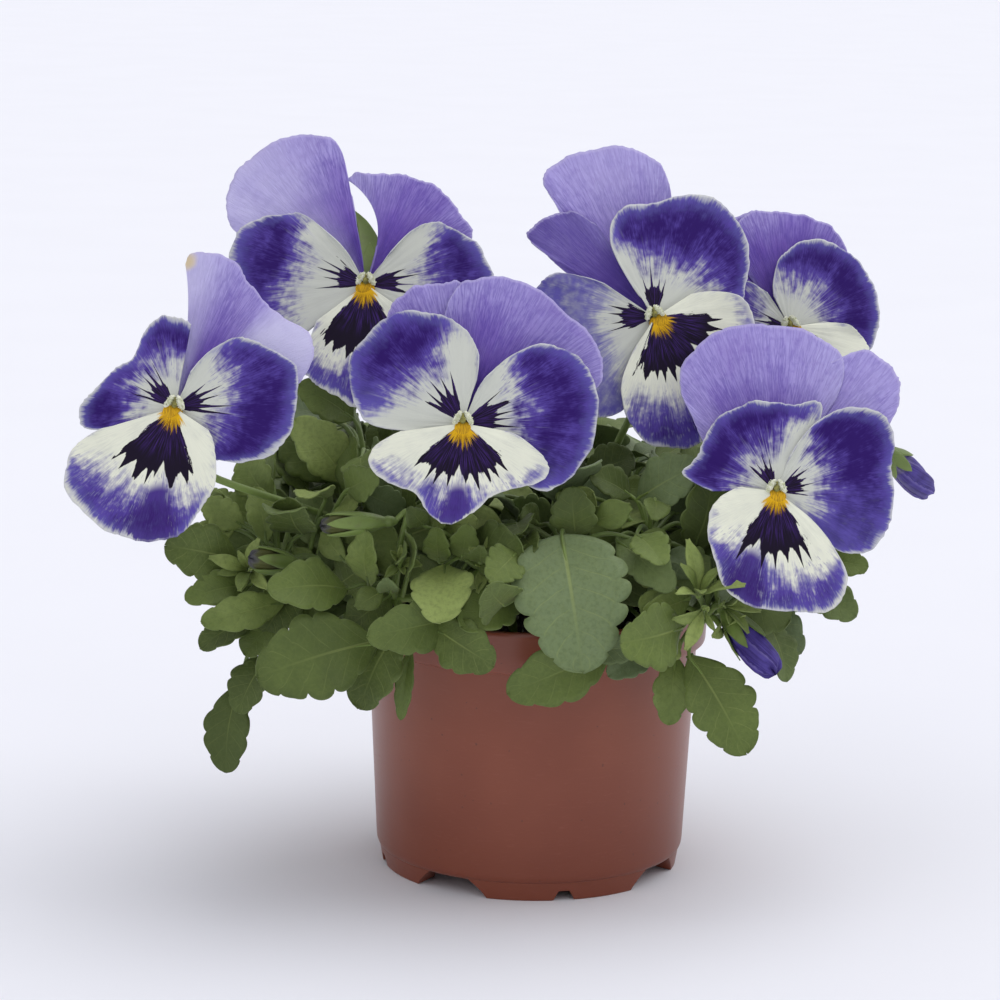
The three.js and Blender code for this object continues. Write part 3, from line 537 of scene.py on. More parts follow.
def soil_body():
    made, u, v = sheet("peat_soil", 96, 96)
    a, b = u * 2 - 1, v * 2 - 1
    x = a * np.sqrt(1 - b * b / 2) * SOIL_RADIUS
    y = b * np.sqrt(1 - a * a / 2) * SOIL_RADIUS
    z = np.array([soil_height(i, j) for i, j in zip(x, y)])
    grit = np.array([draw(n) - 0.5 for n in range(len(x))])
    inside = np.clip((SMOOTH_RIM - np.hypot(x, y)) / 3, 0, 1)
    z += grit * 1.1 * inside - 0.3 + 0.35 * np.sin(x * 1.3) * np.sin(y * 1.1 + 1)
    mould(made, np.stack([x, y, z], 1))
    down = {"TRANSFORM_OT_translate": {"value": (0, 0, -70 * MM)}}
    edit(made, (bpy.ops.mesh.extrude_region_move, down))
    narrow = (inner_radius(SOIL_LOW) - 1.2) / SOIL_RADIUS
    for corner in made.data.vertices:
        if corner.co.z < 40 * MM:  # only the new corners lie so low
            corner.co = (corner.co.x * narrow, corner.co.y * narrow, SOIL_LOW * MM)
    edit(made, OUTWARD)
    smooth(made)
    return made


soil = keep(soil_body(), "soil")
print("soil corners:", len(soil.data.vertices))

# %% Crumbs and perlite
SCATTER_RADIUS = 54.0


def stone(name, key, size):
    """A small rough lump, the pattern for its copies."""
    bpy.ops.mesh.primitive_ico_sphere_add(subdivisions=1, radius=size * MM)
    lump = bpy.context.object
    lump.name = name
    for corner in lump.data.vertices:
        corner.co *= 0.75 + 0.5 * draw(key + corner.index)
    return lump


def scatter(name, count, key, small, large):
    """Copies of one lump over the soil, each turned and sized by its own draws."""
    pattern = stone(name + "_pattern", key, 1.0)
    copies = []
    for i in range(count):
        dice = [draw(key + 7 * i + n) for n in range(1, 7)]
        r, turn = SCATTER_RADIUS * dice[0] ** 0.5, 2 * math.pi * dice[1]
        x, y = r * math.cos(turn), r * math.sin(turn)
        size = small + (large - small) * dice[2] ** 2.5
        lump = copy_of(pattern)
        place = Vector((x, y, soil_height(x, y) + 0.3 * size)) * MM
        turned = Quaternion((dice[3] - 0.5, dice[4] - 0.5, dice[5]), 6.0 * dice[3]).to_matrix()
        lump.data.transform(Matrix.Translation(place) @ turned.to_4x4() @ Matrix.Scale(size, 4))
        copies.append(lump)
    bpy.data.objects.remove(pattern)
    return join(name, copies)


crumbs = keep(scatter("peat_crumbs", 620, 5000, 0.5, 2.3))
perlite = keep(scatter("perlite_grains", 90, 9000, 0.5, 1.5))
print("crumbs:", len(crumbs.data.polygons), "perlite:", len(perlite.data.polygons))

# %% Peat and perlite finishes
def peat_finish(name, light):
    skin = Finish(name, Roughness=0.95)
    place = skin.place()
    grain = skin.noise(place, 900, 3, 0.7)
    damp = skin.noise(place, 60, 2)
    ground = skin.mix(grain.step(0.3, 0.7), rgb(30, 26, 24), rgb(*light))
    skin.feed("Base Color", skin.mix(damp.step(0.45, 0.75) * 0.5, ground, rgb(34, 28, 26)))
    skin.bump(grain, 0.7)
    return skin


def plain_grain(name, dark, light, scale, depth, detail=3, **constants):
    """A finish of two close colours in soft grains."""
    skin = Finish(name, **constants)
    grain = skin.noise(skin.place(), scale, detail)
    skin.feed("Base Color", skin.mix(grain.step(0.35, 0.65), rgb(*dark), rgb(*light)))
    skin.bump(grain, depth)
    return skin


peat_finish("damp_peat", (66, 56, 48)).dress(soil)
peat_finish("peat_crumb", (84, 70, 58)).dress(crumbs)
white = plain_grain("white_perlite", (205, 203, 196), (236, 235, 230), 1500, 0.3, 2, Roughness=0.9)
white.dress(perlite)
print("soil finished")

# %% [markdown]
# ## The blooms
# A pansy has five petals: two lavender ones at the back, one to each side, and the lip
# below. Each is a fan about the eye, so its edge is a list of clock angle and reach in
# millimetres, as seen from the front. The same lists shaped the solids. The painted
# zones differ from petal to petal, so `cream` says how far out the cream ground runs at
# a few clock angles, and `blotch` gives the dark mark: its clock angle, half its spread
# in degrees, its reach, the reach of its whiskers, and the clock angle of its split.
# `tones` makes a petal paler at some clock angles, or darker below zero. `back` sets it
# further behind the face, `twist` turns it at its claw, `fold` dents it at a share
# across, and `scar` is a withered spot at its edge.

# %% Edges and painted zones
BLOOMS = {
    "bloom_1": {
        "eye": (-114, -87, 171), "tilt": (0.2, -0.1), "root": (-20, -8),
        "lip": {
            "edge": [(122, 13), (137, 19.7), (155, 29.1), (165, 33.2), (173, 38), (184, 42),
                (200, 43), (210, 44), (230, 42.9), (241, 39), (249, 33.5), (253, 24)],
            "cream": [(125, 40), (150, 34), (160, 28), (172, 27.5), (187, 23), (200, 27.5),
                (215, 28.5), (230, 31), (242, 34), (250, 40)],
            "blotch": (197, 35, 21.4, 26.5, 190)},
        "left": {
            "edge": [(250, 19), (257, 29.5), (264, 31.2), (274, 29.8), (285, 26), (302, 22.9),
                (320, 21.3), (330, 23.6), (340, 27.6), (350, 29), (360, 28.6), (369, 27)],
            "cream": [(250, 12), (258, 12.5), (270, 12.8), (285, 13.4), (300, 14), (320, 14.6),
                (340, 14), (352, 15), (366, 14)], "blotch": (312, 23, 9.5, 16.5, None)},
        "right": {
            "edge": [(24, 12.2), (32, 22), (43, 30.4), (55, 34.2), (72, 40.1), (86, 38.2),
                (102, 37.2), (114, 34), (128, 27.5), (142, 20)],
            "cream": [(24, 19), (38, 25), (46, 16.5), (60, 18), (80, 15.8), (95, 14.6),
                (110, 12.4), (125, 12), (140, 16)], "blotch": (74, 24, 9, 17, None)},
        "upper": [
            {"edge": [(1, 45.5), (2.5, 48.2), (10, 50.1), (19, 49.2), (26, 46), (34, 43.6),
                 (43, 42.6), (58, 46.5), (66, 46.2), (76, 40), (82, 32)],
             "tones": [(1, 0.75), (10, 0.6), (24, 0.05), (38, 0.15), (50, 1.0), (66, 0.95),
                 (82, 0.4)], "twist": 6, "fold": (0.36, -1.9), "scar": (2, 47)},
            {"edge": [(14, 30), (22, 38), (33, 37), (43, 37), (58, 40), (66, 40), (76, 35),
                 (82, 28)], "back": 4.2}],
    },
    "bloom_2": {
        "eye": (-57.5, -18, 201.7), "tilt": (0.1, -0.2), "root": (-14, 8),
        "long_sepal": (9, 26.5, -20),
        "lip": {
            "edge": [(232, 20), (222, 27.2), (215, 35), (206, 37), (196, 38), (184, 41),
                (170, 39.1), (155, 37), (140, 32.5), (124, 21)],
            "cream": [(232, 32), (222, 30), (210, 29.5), (198, 27.6), (188, 26.8), (178, 27.2),
                (165, 28), (150, 29), (130, 32)], "blotch": (184, 37, 22.6, 26, None)},
        "left": {
            "edge": [(328, 12), (322, 22.5), (318, 31.5), (311, 36.5), (300, 43.4), (290, 47.4),
                (278, 46), (266, 41.6), (248, 34.6), (230, 25)],
            "cream": [(328, 30), (318, 32), (312, 31), (306, 26.5), (298, 22.6), (290, 21),
                (280, 21.8), (270, 24.8), (258, 27), (248, 27), (232, 30)],
            "blotch": (286, 24, 10, 17.5, None)},
        "right": {
            "edge": [(37, 13), (40, 25), (48, 31.6), (60, 36), (72, 40.1), (88, 42.4), (100, 41.1),
                (112, 36), (126, 25)],
            "cream": [(37, 30), (50, 33), (58, 22), (70, 20.5), (80, 19.5), (92, 18), (105, 20),
                (124, 24)], "blotch": (82, 20, 11, 17.5, None)},
        "upper": [
            {"edge": [(286, 35), (293, 49.4), (302, 56.8), (315, 59.6), (330, 58.2), (342, 53.8),
                 (348, 46.6), (349, 26)],
             "tones": [(286, 0.5), (300, 0.65), (325, 0.4), (349, 0)]},
            {"edge": [(347.5, 37), (353, 38.4), (365, 38.4), (379, 39.4), (392, 40.4), (408, 39.6),
                 (422, 38.8), (432, 34), (440, 26)],
             "tones": [(348, 0.3), (372, 0.15), (400, -0.2), (440, 0)], "back": 1.4, "twist": 29}],
    },
    "bloom_3": {
        "eye": (-24, -80, 166.2), "tilt": (0, -0.05), "root": (-4, -14),
        "lip": {
            "edge": [(99, 14), (106, 21.4), (113, 28.6), (120, 31.2), (132, 28.7), (148, 24.9),
                (160, 25), (172, 28), (186, 32.1), (200, 30), (213, 26.8), (226, 29), (243, 32),
                (253, 30), (262, 20)],
            "cream": [(99, 40), (113, 34), (124, 28), (138, 25.6), (152, 24.4), (165, 23),
                (174, 20.4), (181, 18.2), (190, 20.4), (202, 23.4), (216, 24.4), (230, 26),
                (244, 30), (256, 40)], "blotch": (181, 52, 16.8, 21, 184)},
        "left": {
            "edge": [(262, 18), (270, 29.9), (285, 36.9), (302, 41.4), (318, 41.6), (332, 40.2),
                (346, 35.5), (360, 30.2), (370, 23.6), (376, 15)],
            "cream": [(262, 40), (270, 34), (279, 26), (288, 23), (298, 21), (312, 20),
                (322, 18.2), (334, 17), (343, 20), (348, 27), (354, 33), (376, 36)],
            "tones": [(264, 0.7), (284, 0.45), (300, 0)], "blotch": (324, 22, 10.6, 16.5, None)},
        "right": {
            "edge": [(22, 12), (28, 18), (34, 26), (44, 35.5), (58, 42), (75, 43.5), (90, 42.5),
                (108, 39.5), (122, 36.4), (131, 31), (136, 22)],
            "cream": [(22, 24), (32, 30), (38, 22), (46, 19), (58, 18.8), (72, 19.4), (85, 18.4),
                (100, 19.8), (112, 19.8), (126, 24), (136, 32)],
            "tones": [(100, 0), (136, 0.5)], "blotch": (72, 24, 11.4, 17, None)},
        "upper": [
            {"edge": [(344, 27), (354, 41), (362, 45.5), (376, 48.4), (400, 48.2), (418, 48.8),
                 (429, 47), (436, 40), (440, 30)],
             "tones": [(344, 0), (400, -0.35), (440, -0.1)]},
            {"edge": [(306, 28), (314, 36.5), (324, 42), (336, 46), (348, 45.5), (360, 44),
                 (368, 36)], "back": 1.6}],
    },
    "bloom_4": {
        "eye": (38.2, -25, 193.2), "tilt": (-0.15, -0.1), "root": (9, 2),
        "lip": {
            "edge": [(213, 12), (206, 24.4), (197, 33), (188, 38.9), (178, 42.8), (165, 44.4),
                (150, 42.9), (130, 40.2), (112, 37.2), (95, 33.6), (84, 32), (72, 27), (56, 14)],
            "cream": [(213, 40), (204, 31), (195, 30), (185, 29), (175, 28.4), (165, 28.6),
                (155, 29), (140, 29), (112, 29.5), (98, 29), (84, 34), (72, 26.5), (60, 40)],
            "blotch": (141, 57, 18.4, 22.5, 126)},
        "left": {
            "edge": [(302, 20), (294, 34.5), (284, 40), (270, 40.2), (252, 38.4), (235, 37.4),
                (218, 37.9), (206, 37.4), (196, 30)],
            "cream": [(302, 17), (288, 19), (272, 19), (256, 18), (242, 19), (230, 19.5),
                (216, 21), (204, 25)],
            "tones": [(200, 0.9), (240, 0.85), (302, 0.8)], "blotch": (270, 23, 11.4, 15.5, None)},
        "right": {
            "edge": [(324, 12), (327, 25), (333, 33.2), (343, 38), (356, 38), (370, 41.5),
                (384, 44.8), (396, 43.8), (412, 39.4), (428, 33), (440, 29), (446, 20)],
            "cream": [(324, 32), (332, 30), (340, 20), (350, 18.4), (362, 17.8), (376, 17.4),
                (390, 17.8), (404, 19.2), (420, 20), (432, 22.5), (440, 28), (446, 34)],
            "blotch": (358, 21, 10.5, 15.6, None)},
        "upper": [
            {"edge": [(288, 18), (295, 28), (300, 42), (303, 50), (313, 48.3), (322, 44.5),
                 (328, 36)],
             "tones": [(288, -0.6), (328, -0.6)]},
            {"edge": [(314, 34), (319, 50), (321, 59), (330, 60.9), (345, 59.6), (356, 56),
                 (364, 49.5), (369, 39)],
             "tones": [(314, 0.1), (335, 0.3), (369, 0.2)], "back": 1.8}],
    },
    "bloom_5": {
        "eye": (86, 12, 185.3), "tilt": (-0.25, -0.1), "root": (22, 13),
        "lip": {
            "edge": [(80, 12), (86, 20), (95, 25), (103, 28), (115, 31), (135, 34), (155, 35),
                (175, 33), (193, 27), (206, 16)],
            "cream": [(80, 40), (104, 40), (118, 27), (140, 24), (160, 22), (180, 22), (206, 30)],
            "blotch": (150, 42, 13, 16, 146)},
        "left": {
            "edge": [(226, 18), (236, 28), (252, 34), (270, 35), (288, 33), (304, 28), (316, 22),
                (326, 14)],
            "cream": [(226, 22), (250, 15), (275, 13), (300, 13), (326, 18)],
            "blotch": (272, 24, 8, 13, None)},
        "right": {
            "edge": [(332, 12), (346, 20.6), (358, 26.6), (372, 31.3), (392, 33.8), (412, 33.6),
                (432, 33), (450, 30.7), (464, 29), (478, 21)],
            "cream": [(332, 26), (344, 19), (352, 13.5), (364, 14), (380, 13), (405, 13.2),
                (430, 13), (450, 13.4), (466, 15), (478, 20)], "blotch": (300, 22, 6, 12, None)},
        "upper": [
            {"edge": [(322, 27), (330, 37), (338, 41), (346, 41.4), (358, 40), (370, 39.6),
                 (382, 38.8), (394, 35.6), (406, 31), (418, 24)],
             "tones": [(344, 0), (400, -0.35), (440, -0.1)]},
            {"edge": [(290, 28), (300, 37), (314, 41), (330, 42.4), (346, 41.2), (360, 39),
                 (372, 32)], "back": 1.6}],
    },
    "bloom_6": {
        "eye": (76.4, -66, 143.3), "tilt": (-0.1, -0.1), "root": (28, -8),
        "lip": {
            "edge": [(126, 12), (133, 25.6), (139, 34.9), (147, 40), (156, 41.6), (168, 39.2),
                (190, 37.6), (206, 35.4), (218, 31.2), (234, 26.4), (252, 22.5), (266, 17),
                (276, 11)],
            "cream": [(126, 40), (134, 30), (142, 28.4), (154, 28.4), (165, 27.8), (178, 26.8),
                (188, 24), (196, 19.4), (205, 20.6), (216, 20.4), (228, 20.6), (238, 25),
                (256, 40)], "blotch": (182, 35, 19.8, 24.6, 199)},
        "left": {
            "edge": [(270, 20), (280, 30.5), (288, 28.2), (300, 28), (320, 29.6), (340, 30),
                (358, 28.6), (374, 29.2), (388, 32), (394, 21)],
            "cream": [(270, 13), (284, 10.6), (300, 11.4), (315, 12), (330, 13.4), (345, 13.2),
                (362, 13.4), (374, 19), (390, 32)],
            "tones": [(300, -0.15)], "blotch": (334, 20, 8.2, 12, None)},
        "right": {
            "edge": [(22, 12), (29, 24.5), (37, 33), (48, 41), (58, 43.8), (70, 41.2), (82, 38.4),
                (98, 38.6), (112, 38), (124, 34.3), (132, 28), (135, 19)],
            "cream": [(22, 24), (31, 24), (36, 15), (46, 15.4), (60, 15.8), (75, 16), (90, 15.2),
                (105, 13), (120, 12), (130, 13), (135, 20)],
            "tones": [(60, -0.25), (90, 0.1), (135, 0.5)], "blotch": (70, 23, 9, 12.8, None)},
        "upper": [
            {"edge": [(300, 24), (311, 34), (317, 44), (326, 50.6), (340, 54), (356, 54.2),
                 (374, 52.4), (388, 48.6), (394, 36)],
             "tones": [(300, 0.3), (322, 0.2), (344, -0.2), (370, 0.1), (394, 0.3)]},
            {"edge": [(16, 36), (26, 48), (33, 55), (42, 56.4), (50, 54.5), (57, 47.5), (64, 38),
                 (70, 28)],
             "tones": [(20, 0), (45, 0.25), (70, 0.1)], "back": 1.6}],
    },
}
print("petals:", sum(3 + len(bloom["upper"]) for bloom in BLOOMS.values()))

# %% [markdown]
# ### Where a petal's surface lies
# Every point of a bloom is named by clock angle, distance from the eye and height above
# the face. A petal is thin and soft: it is cupped, its ruffles grow towards the edge, and
# shallow furrows run out from the eye.

# %% Points of a bloom
VIEW_TILT = math.radians(11.2)
FACE_UP = Vector((0, math.sin(VIEW_TILT), math.cos(VIEW_TILT)))
FACE_OUT = Vector((0, -math.cos(VIEW_TILT), math.sin(VIEW_TILT)))
CLAW = 2.2  # petals start this far from the centre
KINDS = {
    "lip": {"depth": 1.7, "lean": 0.03, "cup": -1.2, "ruffle": 0.9, "waves": 2, "phase": 0.6},
    "left": {"depth": -0.5, "lean": -0.06, "cup": 1, "ruffle": 0.8, "waves": 1.5, "phase": 2},
    "right": {"depth": -0.5, "lean": -0.06, "cup": 1, "ruffle": 0.8, "waves": 1.5, "phase": 0.4},
    "upper": {"depth": -3.4, "lean": -0.2, "cup": -1.5, "ruffle": 1, "waves": 1, "phase": 1},
}


def on_face(bloom, clock, r, height):
    """Points in millimetres for arrays of clock angles, reaches and heights."""
    turn = np.radians(clock)
    x, y = r * np.sin(turn), r * np.cos(turn)
    lift = height + bloom["tilt"][0] * x + bloom["tilt"][1] * y
    right = np.array((1.0, 0, 0))
    return (np.array(bloom["eye"]) + np.multiply.outer(x, right)
            + np.multiply.outer(y, np.array(FACE_UP)) + np.multiply.outer(lift, np.array(FACE_OUT)))


def spot(bloom, clock, r, height):
    return Vector(on_face(bloom, float(clock), float(r), float(height)))


def rim_of(edge, u, stretch=1.0):
    """Clock angle and reach of a petal's edge at each share across."""
    knots = [Vector((clock, r * stretch, 0)) for clock, r in edge]
    rows = {s: catmull(knots, s, False) for s in sorted(set(u))}
    return np.array([rows[s].x for s in u]), np.array([rows[s].y for s in u])


def petal_height(kind, u, v, r, key):
    """How far a petal stands off the face, in millimetres: its kind's form and small waves."""
    cup = kind["cup"] * (2 * u - 1) ** 2 * v
    ruffle = np.sin(kind["waves"] * 2 * np.pi * u + kind["phase"]) * kind["ruffle"] * v**2
    frill = (np.sin(u * 23 + key) + 0.7 * np.sin(u * 39 + 2 * key)) * 0.34 * v**5
    furrow = np.sin(u * 61 + key) * 0.06 * np.sin(np.pi * v)
    dimple = 0.6 * np.sin(v * 5.0 + key) * np.sin(u * 7 + key) * v
    return kind["depth"] + kind["lean"] * r + cup + ruffle + frill + furrow + dimple


print("out of the face:", [round(c, 2) for c in FACE_OUT])

# %% Make one petal
def thicken(thing, thickness, front, offset=-1, **settings):
    """Turns a sheet's faces to the front, then makes it thick behind them (offset 0: both ways)."""
    facing = sum(face.normal.dot(front) * face.area for face in thing.data.polygons)
    if facing < 0:
        thing.data.flip_normals()
    apply_modifier(thing, "SOLIDIFY", thickness=thickness * MM, offset=offset,
                   use_even_offset=False, **settings)
    smooth(thing)


PETAL_ACROSS, PETAL_ALONG = 72, 44
PETAL_THICKNESS = 0.38
BORDER_BLUR = np.linspace(-6, 6, 9)  # degrees over which the painted border is averaged
NO_SPLIT = 9.0  # radians, further round than any petal reaches
SCAR_RADIUS = 7


def cream_end(shape, clock, reach):
    """How far out the cream ground runs, softened so that no border turns abruptly."""
    if "cream" not in shape:
        return np.zeros(len(clock))
    ends = np.array(sorted(shape["cream"]), float)
    blurred = [np.interp(clock + step, ends[:, 0], ends[:, 1]) for step in BORDER_BLUR]
    return np.minimum(np.mean(blurred, 0), reach + 3)


def petal(bloom, name, shape, kind_name, key, skins, stretch=1.0):
    """A petal; the first of its two skins goes on the front and the other on the back."""
    kind = dict(KINDS[kind_name])
    kind["depth"] -= shape.get("back", 0)
    made, u, v = sheet(name, PETAL_ACROSS, PETAL_ALONG)
    v = v**0.85
    clock, reach = rim_of(shape["edge"], u, stretch)
    column = np.rint(u * PETAL_ACROSS).astype(int)
    crinkle = np.array([draw(5000 + 97 * key + i) for i in range(PETAL_ACROSS + 1)]) - 0.5
    nick = 0.25 * np.sin(u * 31 + key) + 0.2 * np.sin(u * 53 + 2 * key)
    nick = nick + 0.5 * crinkle[column] * v**3
    r = CLAW + (reach + nick - CLAW) * v
    clock = clock + shape.get("twist", 0) * (1 - v**2) * (1 - u) ** 2
    height = petal_height(kind, u, v, r, key)
    middle, depth = shape.get("fold", (0.5, 0))
    height = height + depth * np.exp(-(((u - middle) / 0.13) ** 2)) * np.sin(np.pi * v * 0.85)
    tones = np.array(shape.get("tones", [(0, 0)]), float)
    tone = np.interp(clock, tones[:, 0], tones[:, 1])
    mould(made, on_face(bloom, clock, r, height))
    axis, half, body, whisker, split = shape.get("blotch", (0, 1, 1, 1, None))
    start = cream_end(shape, clock, reach)
    if "scar" in shape:  # a withered spot at the edge, its clock angle and reach
        x, y = np.radians(clock - shape["scar"][0]) * r, r - shape["scar"][1]
        start = 10 * np.clip(1 - np.hypot(x, y) / SCAR_RADIUS, 0, 1)
    cut = NO_SPLIT if split is None else math.radians(split - axis)
    paint(made, "ray", np.radians(clock - axis), r / 10, key)
    paint(made, "zone", start / 10, v, u * 2 - 1)
    paint(made, "blotch", math.radians(half), body / 10, whisker / 10)
    paint(made, "mark", cut, kind_name == "lip", tone)
    for skin in skins:
        skin.dress(made)
    thicken(made, PETAL_THICKNESS, FACE_OUT, material_offset=1)
    return made


print("corners in a petal's sheet:", (PETAL_ACROSS + 1) * (PETAL_ALONG + 1))

# %% [markdown]
# ### Painted petals
# The colours run outwards with the petal's veins, so the noise that breaks up their
# borders is stretched along the ray: it reads the angle about the eye and the reach,
# which every corner carries. From the bottom up: cream, feathered violet that fades to
# an irregular white margin, the near-black blotch with its whiskers, and the golden eye.

# %% Patterned petal finish
LIP_CREAM, SIDE_CREAM, PALE_EDGE = rgb(232, 234, 216), rgb(203, 206, 197), rgb(214, 214, 220)
VIOLET, DEEP_VIOLET, PLUM = rgb(86, 68, 158), rgb(42, 12, 98), rgb(50, 16, 98)
RIM_BLUE = rgb(104, 102, 178)
BLOTCH, BLOTCH_LIGHT = rgb(18, 5, 32), rgb(66, 38, 116)
GOLD, BROWN = rgb(228, 178, 22), rgb(96, 52, 12)


def ray_noise(skin, turn, reach, key, pitch):
    """Gives rays(): noise in streaks that run out from the eye; the pitch sets petals apart."""
    def rays(spread, stretch, offset, detail=2.0):
        ray = skin.vector(turn * spread + key * pitch + offset, reach * stretch, key)
        return skin.noise(ray, 1.0, detail)
    return rays


def patterned_finish(name, back):
    skin = Finish(name, Sheen_Weight=0.02, Specular_IOR_Level=0.15)
    turn, reach, key = skin.painted("ray")
    start, along, _ = skin.painted("zone")
    half, body, whisker = skin.painted("blotch")
    cut, lip, tone = skin.painted("mark")
    rays = ray_noise(skin, turn, reach, key, 7.3)
    broad, fine, hair = rays(7, 0.35, 0), rays(26, 1.0, 20), rays(72, 2.2, 50, 3)
    blot = skin.noise(skin.place(), 120, 3)
    speck = skin.noise(skin.place(), 420, 3)
    beyond = reach - start
    feather = (broad.swing(1.1) + fine.swing(0.8) + hair.swing(0.7) + blot.swing(1.5)
               + speck.swing(1.1))
    violet = (beyond + feather).step(-0.45, 0.48)
    flecks = rays(40, 3.4, 90, 3).step(0.56, 0.68) * beyond.step(-0.75, -0.1) * 0.55
    streaks = rays(34, 0.8, 120, 3).step(0.55, 0.7) * beyond.fall(0.15, 1.0) * 0.3
    streaks = streaks + (speck * 0.5 + hair * 0.6).step(0.55, 0.8) * (lip * 0.3 + tone * 0.3)
    streaks = streaks + (blot * 0.6 + speck * 0.6).step(0.45, 0.8) * (tone - 0.5).most(0.0)
    # a violet field dissolves into its white margin in small flecks
    wide_rim = rays(1.6, 0.0, 200).step(0.38, 0.6)
    rim = (along + blot.swing(0.16) + fine.swing(0.08) + hair.swing(0.08)
           + wide_rim * 0.045 - 0.035)
    violet = (violet.most(flecks) - streaks * violet).most(0.0) * rim.fall(0.94, 1.01)
    full = beyond.step(0.1, 1.2)
    thread = rays(130, 4.0, 160, 3)
    shade = (full * 0.75 + fine.swing(0.6) + hair.swing(0.8) + thread.swing(0.9)
             + blot.swing(1.8) + speck.swing(0.8) + broad.swing(0.8)
             - rim.step(0.76, 1.0) * 0.4 - tone * 0.5)
    colour = skin.mix(shade.step(-0.1, 0.95), VIOLET, DEEP_VIOLET)
    worn = (speck * 0.4 + blot * 0.4 + hair * 0.5).step(0.56, 0.9) * lip * 0.6
    worn = worn.most((rim + speck.swing(0.2)).step(0.82, 1.02) * 0.6).most(tone * 0.7)
    colour = skin.mix(worn, colour, RIM_BLUE)
    off_centre = abs(turn - cut) + fine.swing(0.16) - (reach - start) * 0.06
    centre = off_centre.fall(0.06, 0.2) * lip * beyond.step(-0.25, 0.25)
    violet = violet.most(centre * rim.fall(0.96, 1.0))
    colour = skin.mix(centre * 0.5, colour, PLUM)
    cream = skin.mix(lip, SIDE_CREAM, LIP_CREAM)
    ground = skin.mix((hair * 0.6 + blot * 0.6).step(0.5, 0.85) * 0.4, cream, rgb(186, 189, 184))
    tint = (fine * 0.6 + blot * 0.5).step(0.5, 0.68) * beyond.step(-0.9, 0.1) * 0.3
    ground = skin.mix(tint, ground, rgb(120, 116, 194))
    colour = skin.mix(violet, ground, colour)
    margin = (along + fine.swing(0.02)).step(0.98, 0.992)
    colour = skin.mix(margin * (blot.step(0.35, 0.6) * 0.4 + 0.12), colour, PALE_EDGE)
    # the blotch: a body with a ragged end, and whiskers that taper outwards
    off = abs(turn) / half * (lip * 0.12 + 0.88) + rays(9, 1.7, 5).swing(0.36)
    off = off + hair.swing(0.2)
    inside = 1.0 - off.step(0.93, 1.12)
    swing = turn * (lip * 0.7 + 5.1) + key * 1.7 + rays(3, 0.0, 31).swing(1.8)
    comb = (1.0 - abs(swing.fraction() - 0.5) * 2.0).most(0.0)
    uneven = rays(5, 0.0, 77).step(0.3, 0.68) * 0.8 + 0.42
    ragged = rays(24, 0.3, 9).swing(0.4)
    rounded = body * (0.97 - off * off * (1.0 - lip) * 0.22)
    thin = comb ** (3.2 - lip * 1.2)
    end = (rounded + ragged + (whisker - rounded) * thin * uneven * 1.2) * inside
    dark = (end - reach).step(-0.02, 0.03)
    parted = abs(turn - cut) * reach - (reach - body * 0.82) * 0.36 + fine.swing(0.06)
    dark = dark * parted.step(0.0, 0.035)
    ink = (hair * 0.5 + fine * 0.6).step(0.5, 0.7) * reach.fall(1.1, 1.9) * 0.85
    ink = skin.mix(ink, BLOTCH, BLOTCH_LIGHT)
    colour = skin.mix(dark, colour, ink)
    # the golden eye: fingers that reach out between dark lines
    fingers = ((turn * 29.0 + fine.swing(9.0)).cosine() * 0.5 + 0.5) * 0.14 + 0.53
    fingers = fingers + rays(58, 0.5, 140, 3).swing(0.75)
    gold_end = fingers * (1.15 - abs(turn) * 0.3)
    gold = (gold_end - reach).step(-0.03, 0.05) * lip * abs(turn).fall(0.85, 1.0)
    lines = (hair * 0.7 + fine * 0.4).step(0.5, 0.62) * reach.step(0.24, 0.5)
    lines = lines * (1.0 - abs(turn).step(0.3, 0.7) * 0.7)
    lines = lines.most(reach.step(0.42, 0.75) * ((key * 2.7).cosine() * 0.3 + 0.4))
    colour = skin.mix(gold, colour, skin.mix(lines, GOLD, BROWN))
    if back:  # the colours of the front show faintly through the pale back
        colour = skin.mix(hair * 0.5 + 0.36, colour, rgb(168, 162, 204))
    skin.feed("Base Color", colour)
    skin.feed("Roughness", hair * 0.14 + 0.52 - dark * 0.04)
    skin.bump(hair * 0.5 + fine * 0.7 + blot * 0.3, 0.2, 0.5)
    return skin


patterned = (patterned_finish("patterned_petal", False), patterned_finish("patterned_back", True))
print("shader nodes:", [len(skin.tree.nodes) for skin in patterned])

# %% [markdown]
# ### Lavender upper petals
# The two back petals are lavender with darker veins that fork outwards, nearly violet at
# the claw and paler towards a thin light margin.

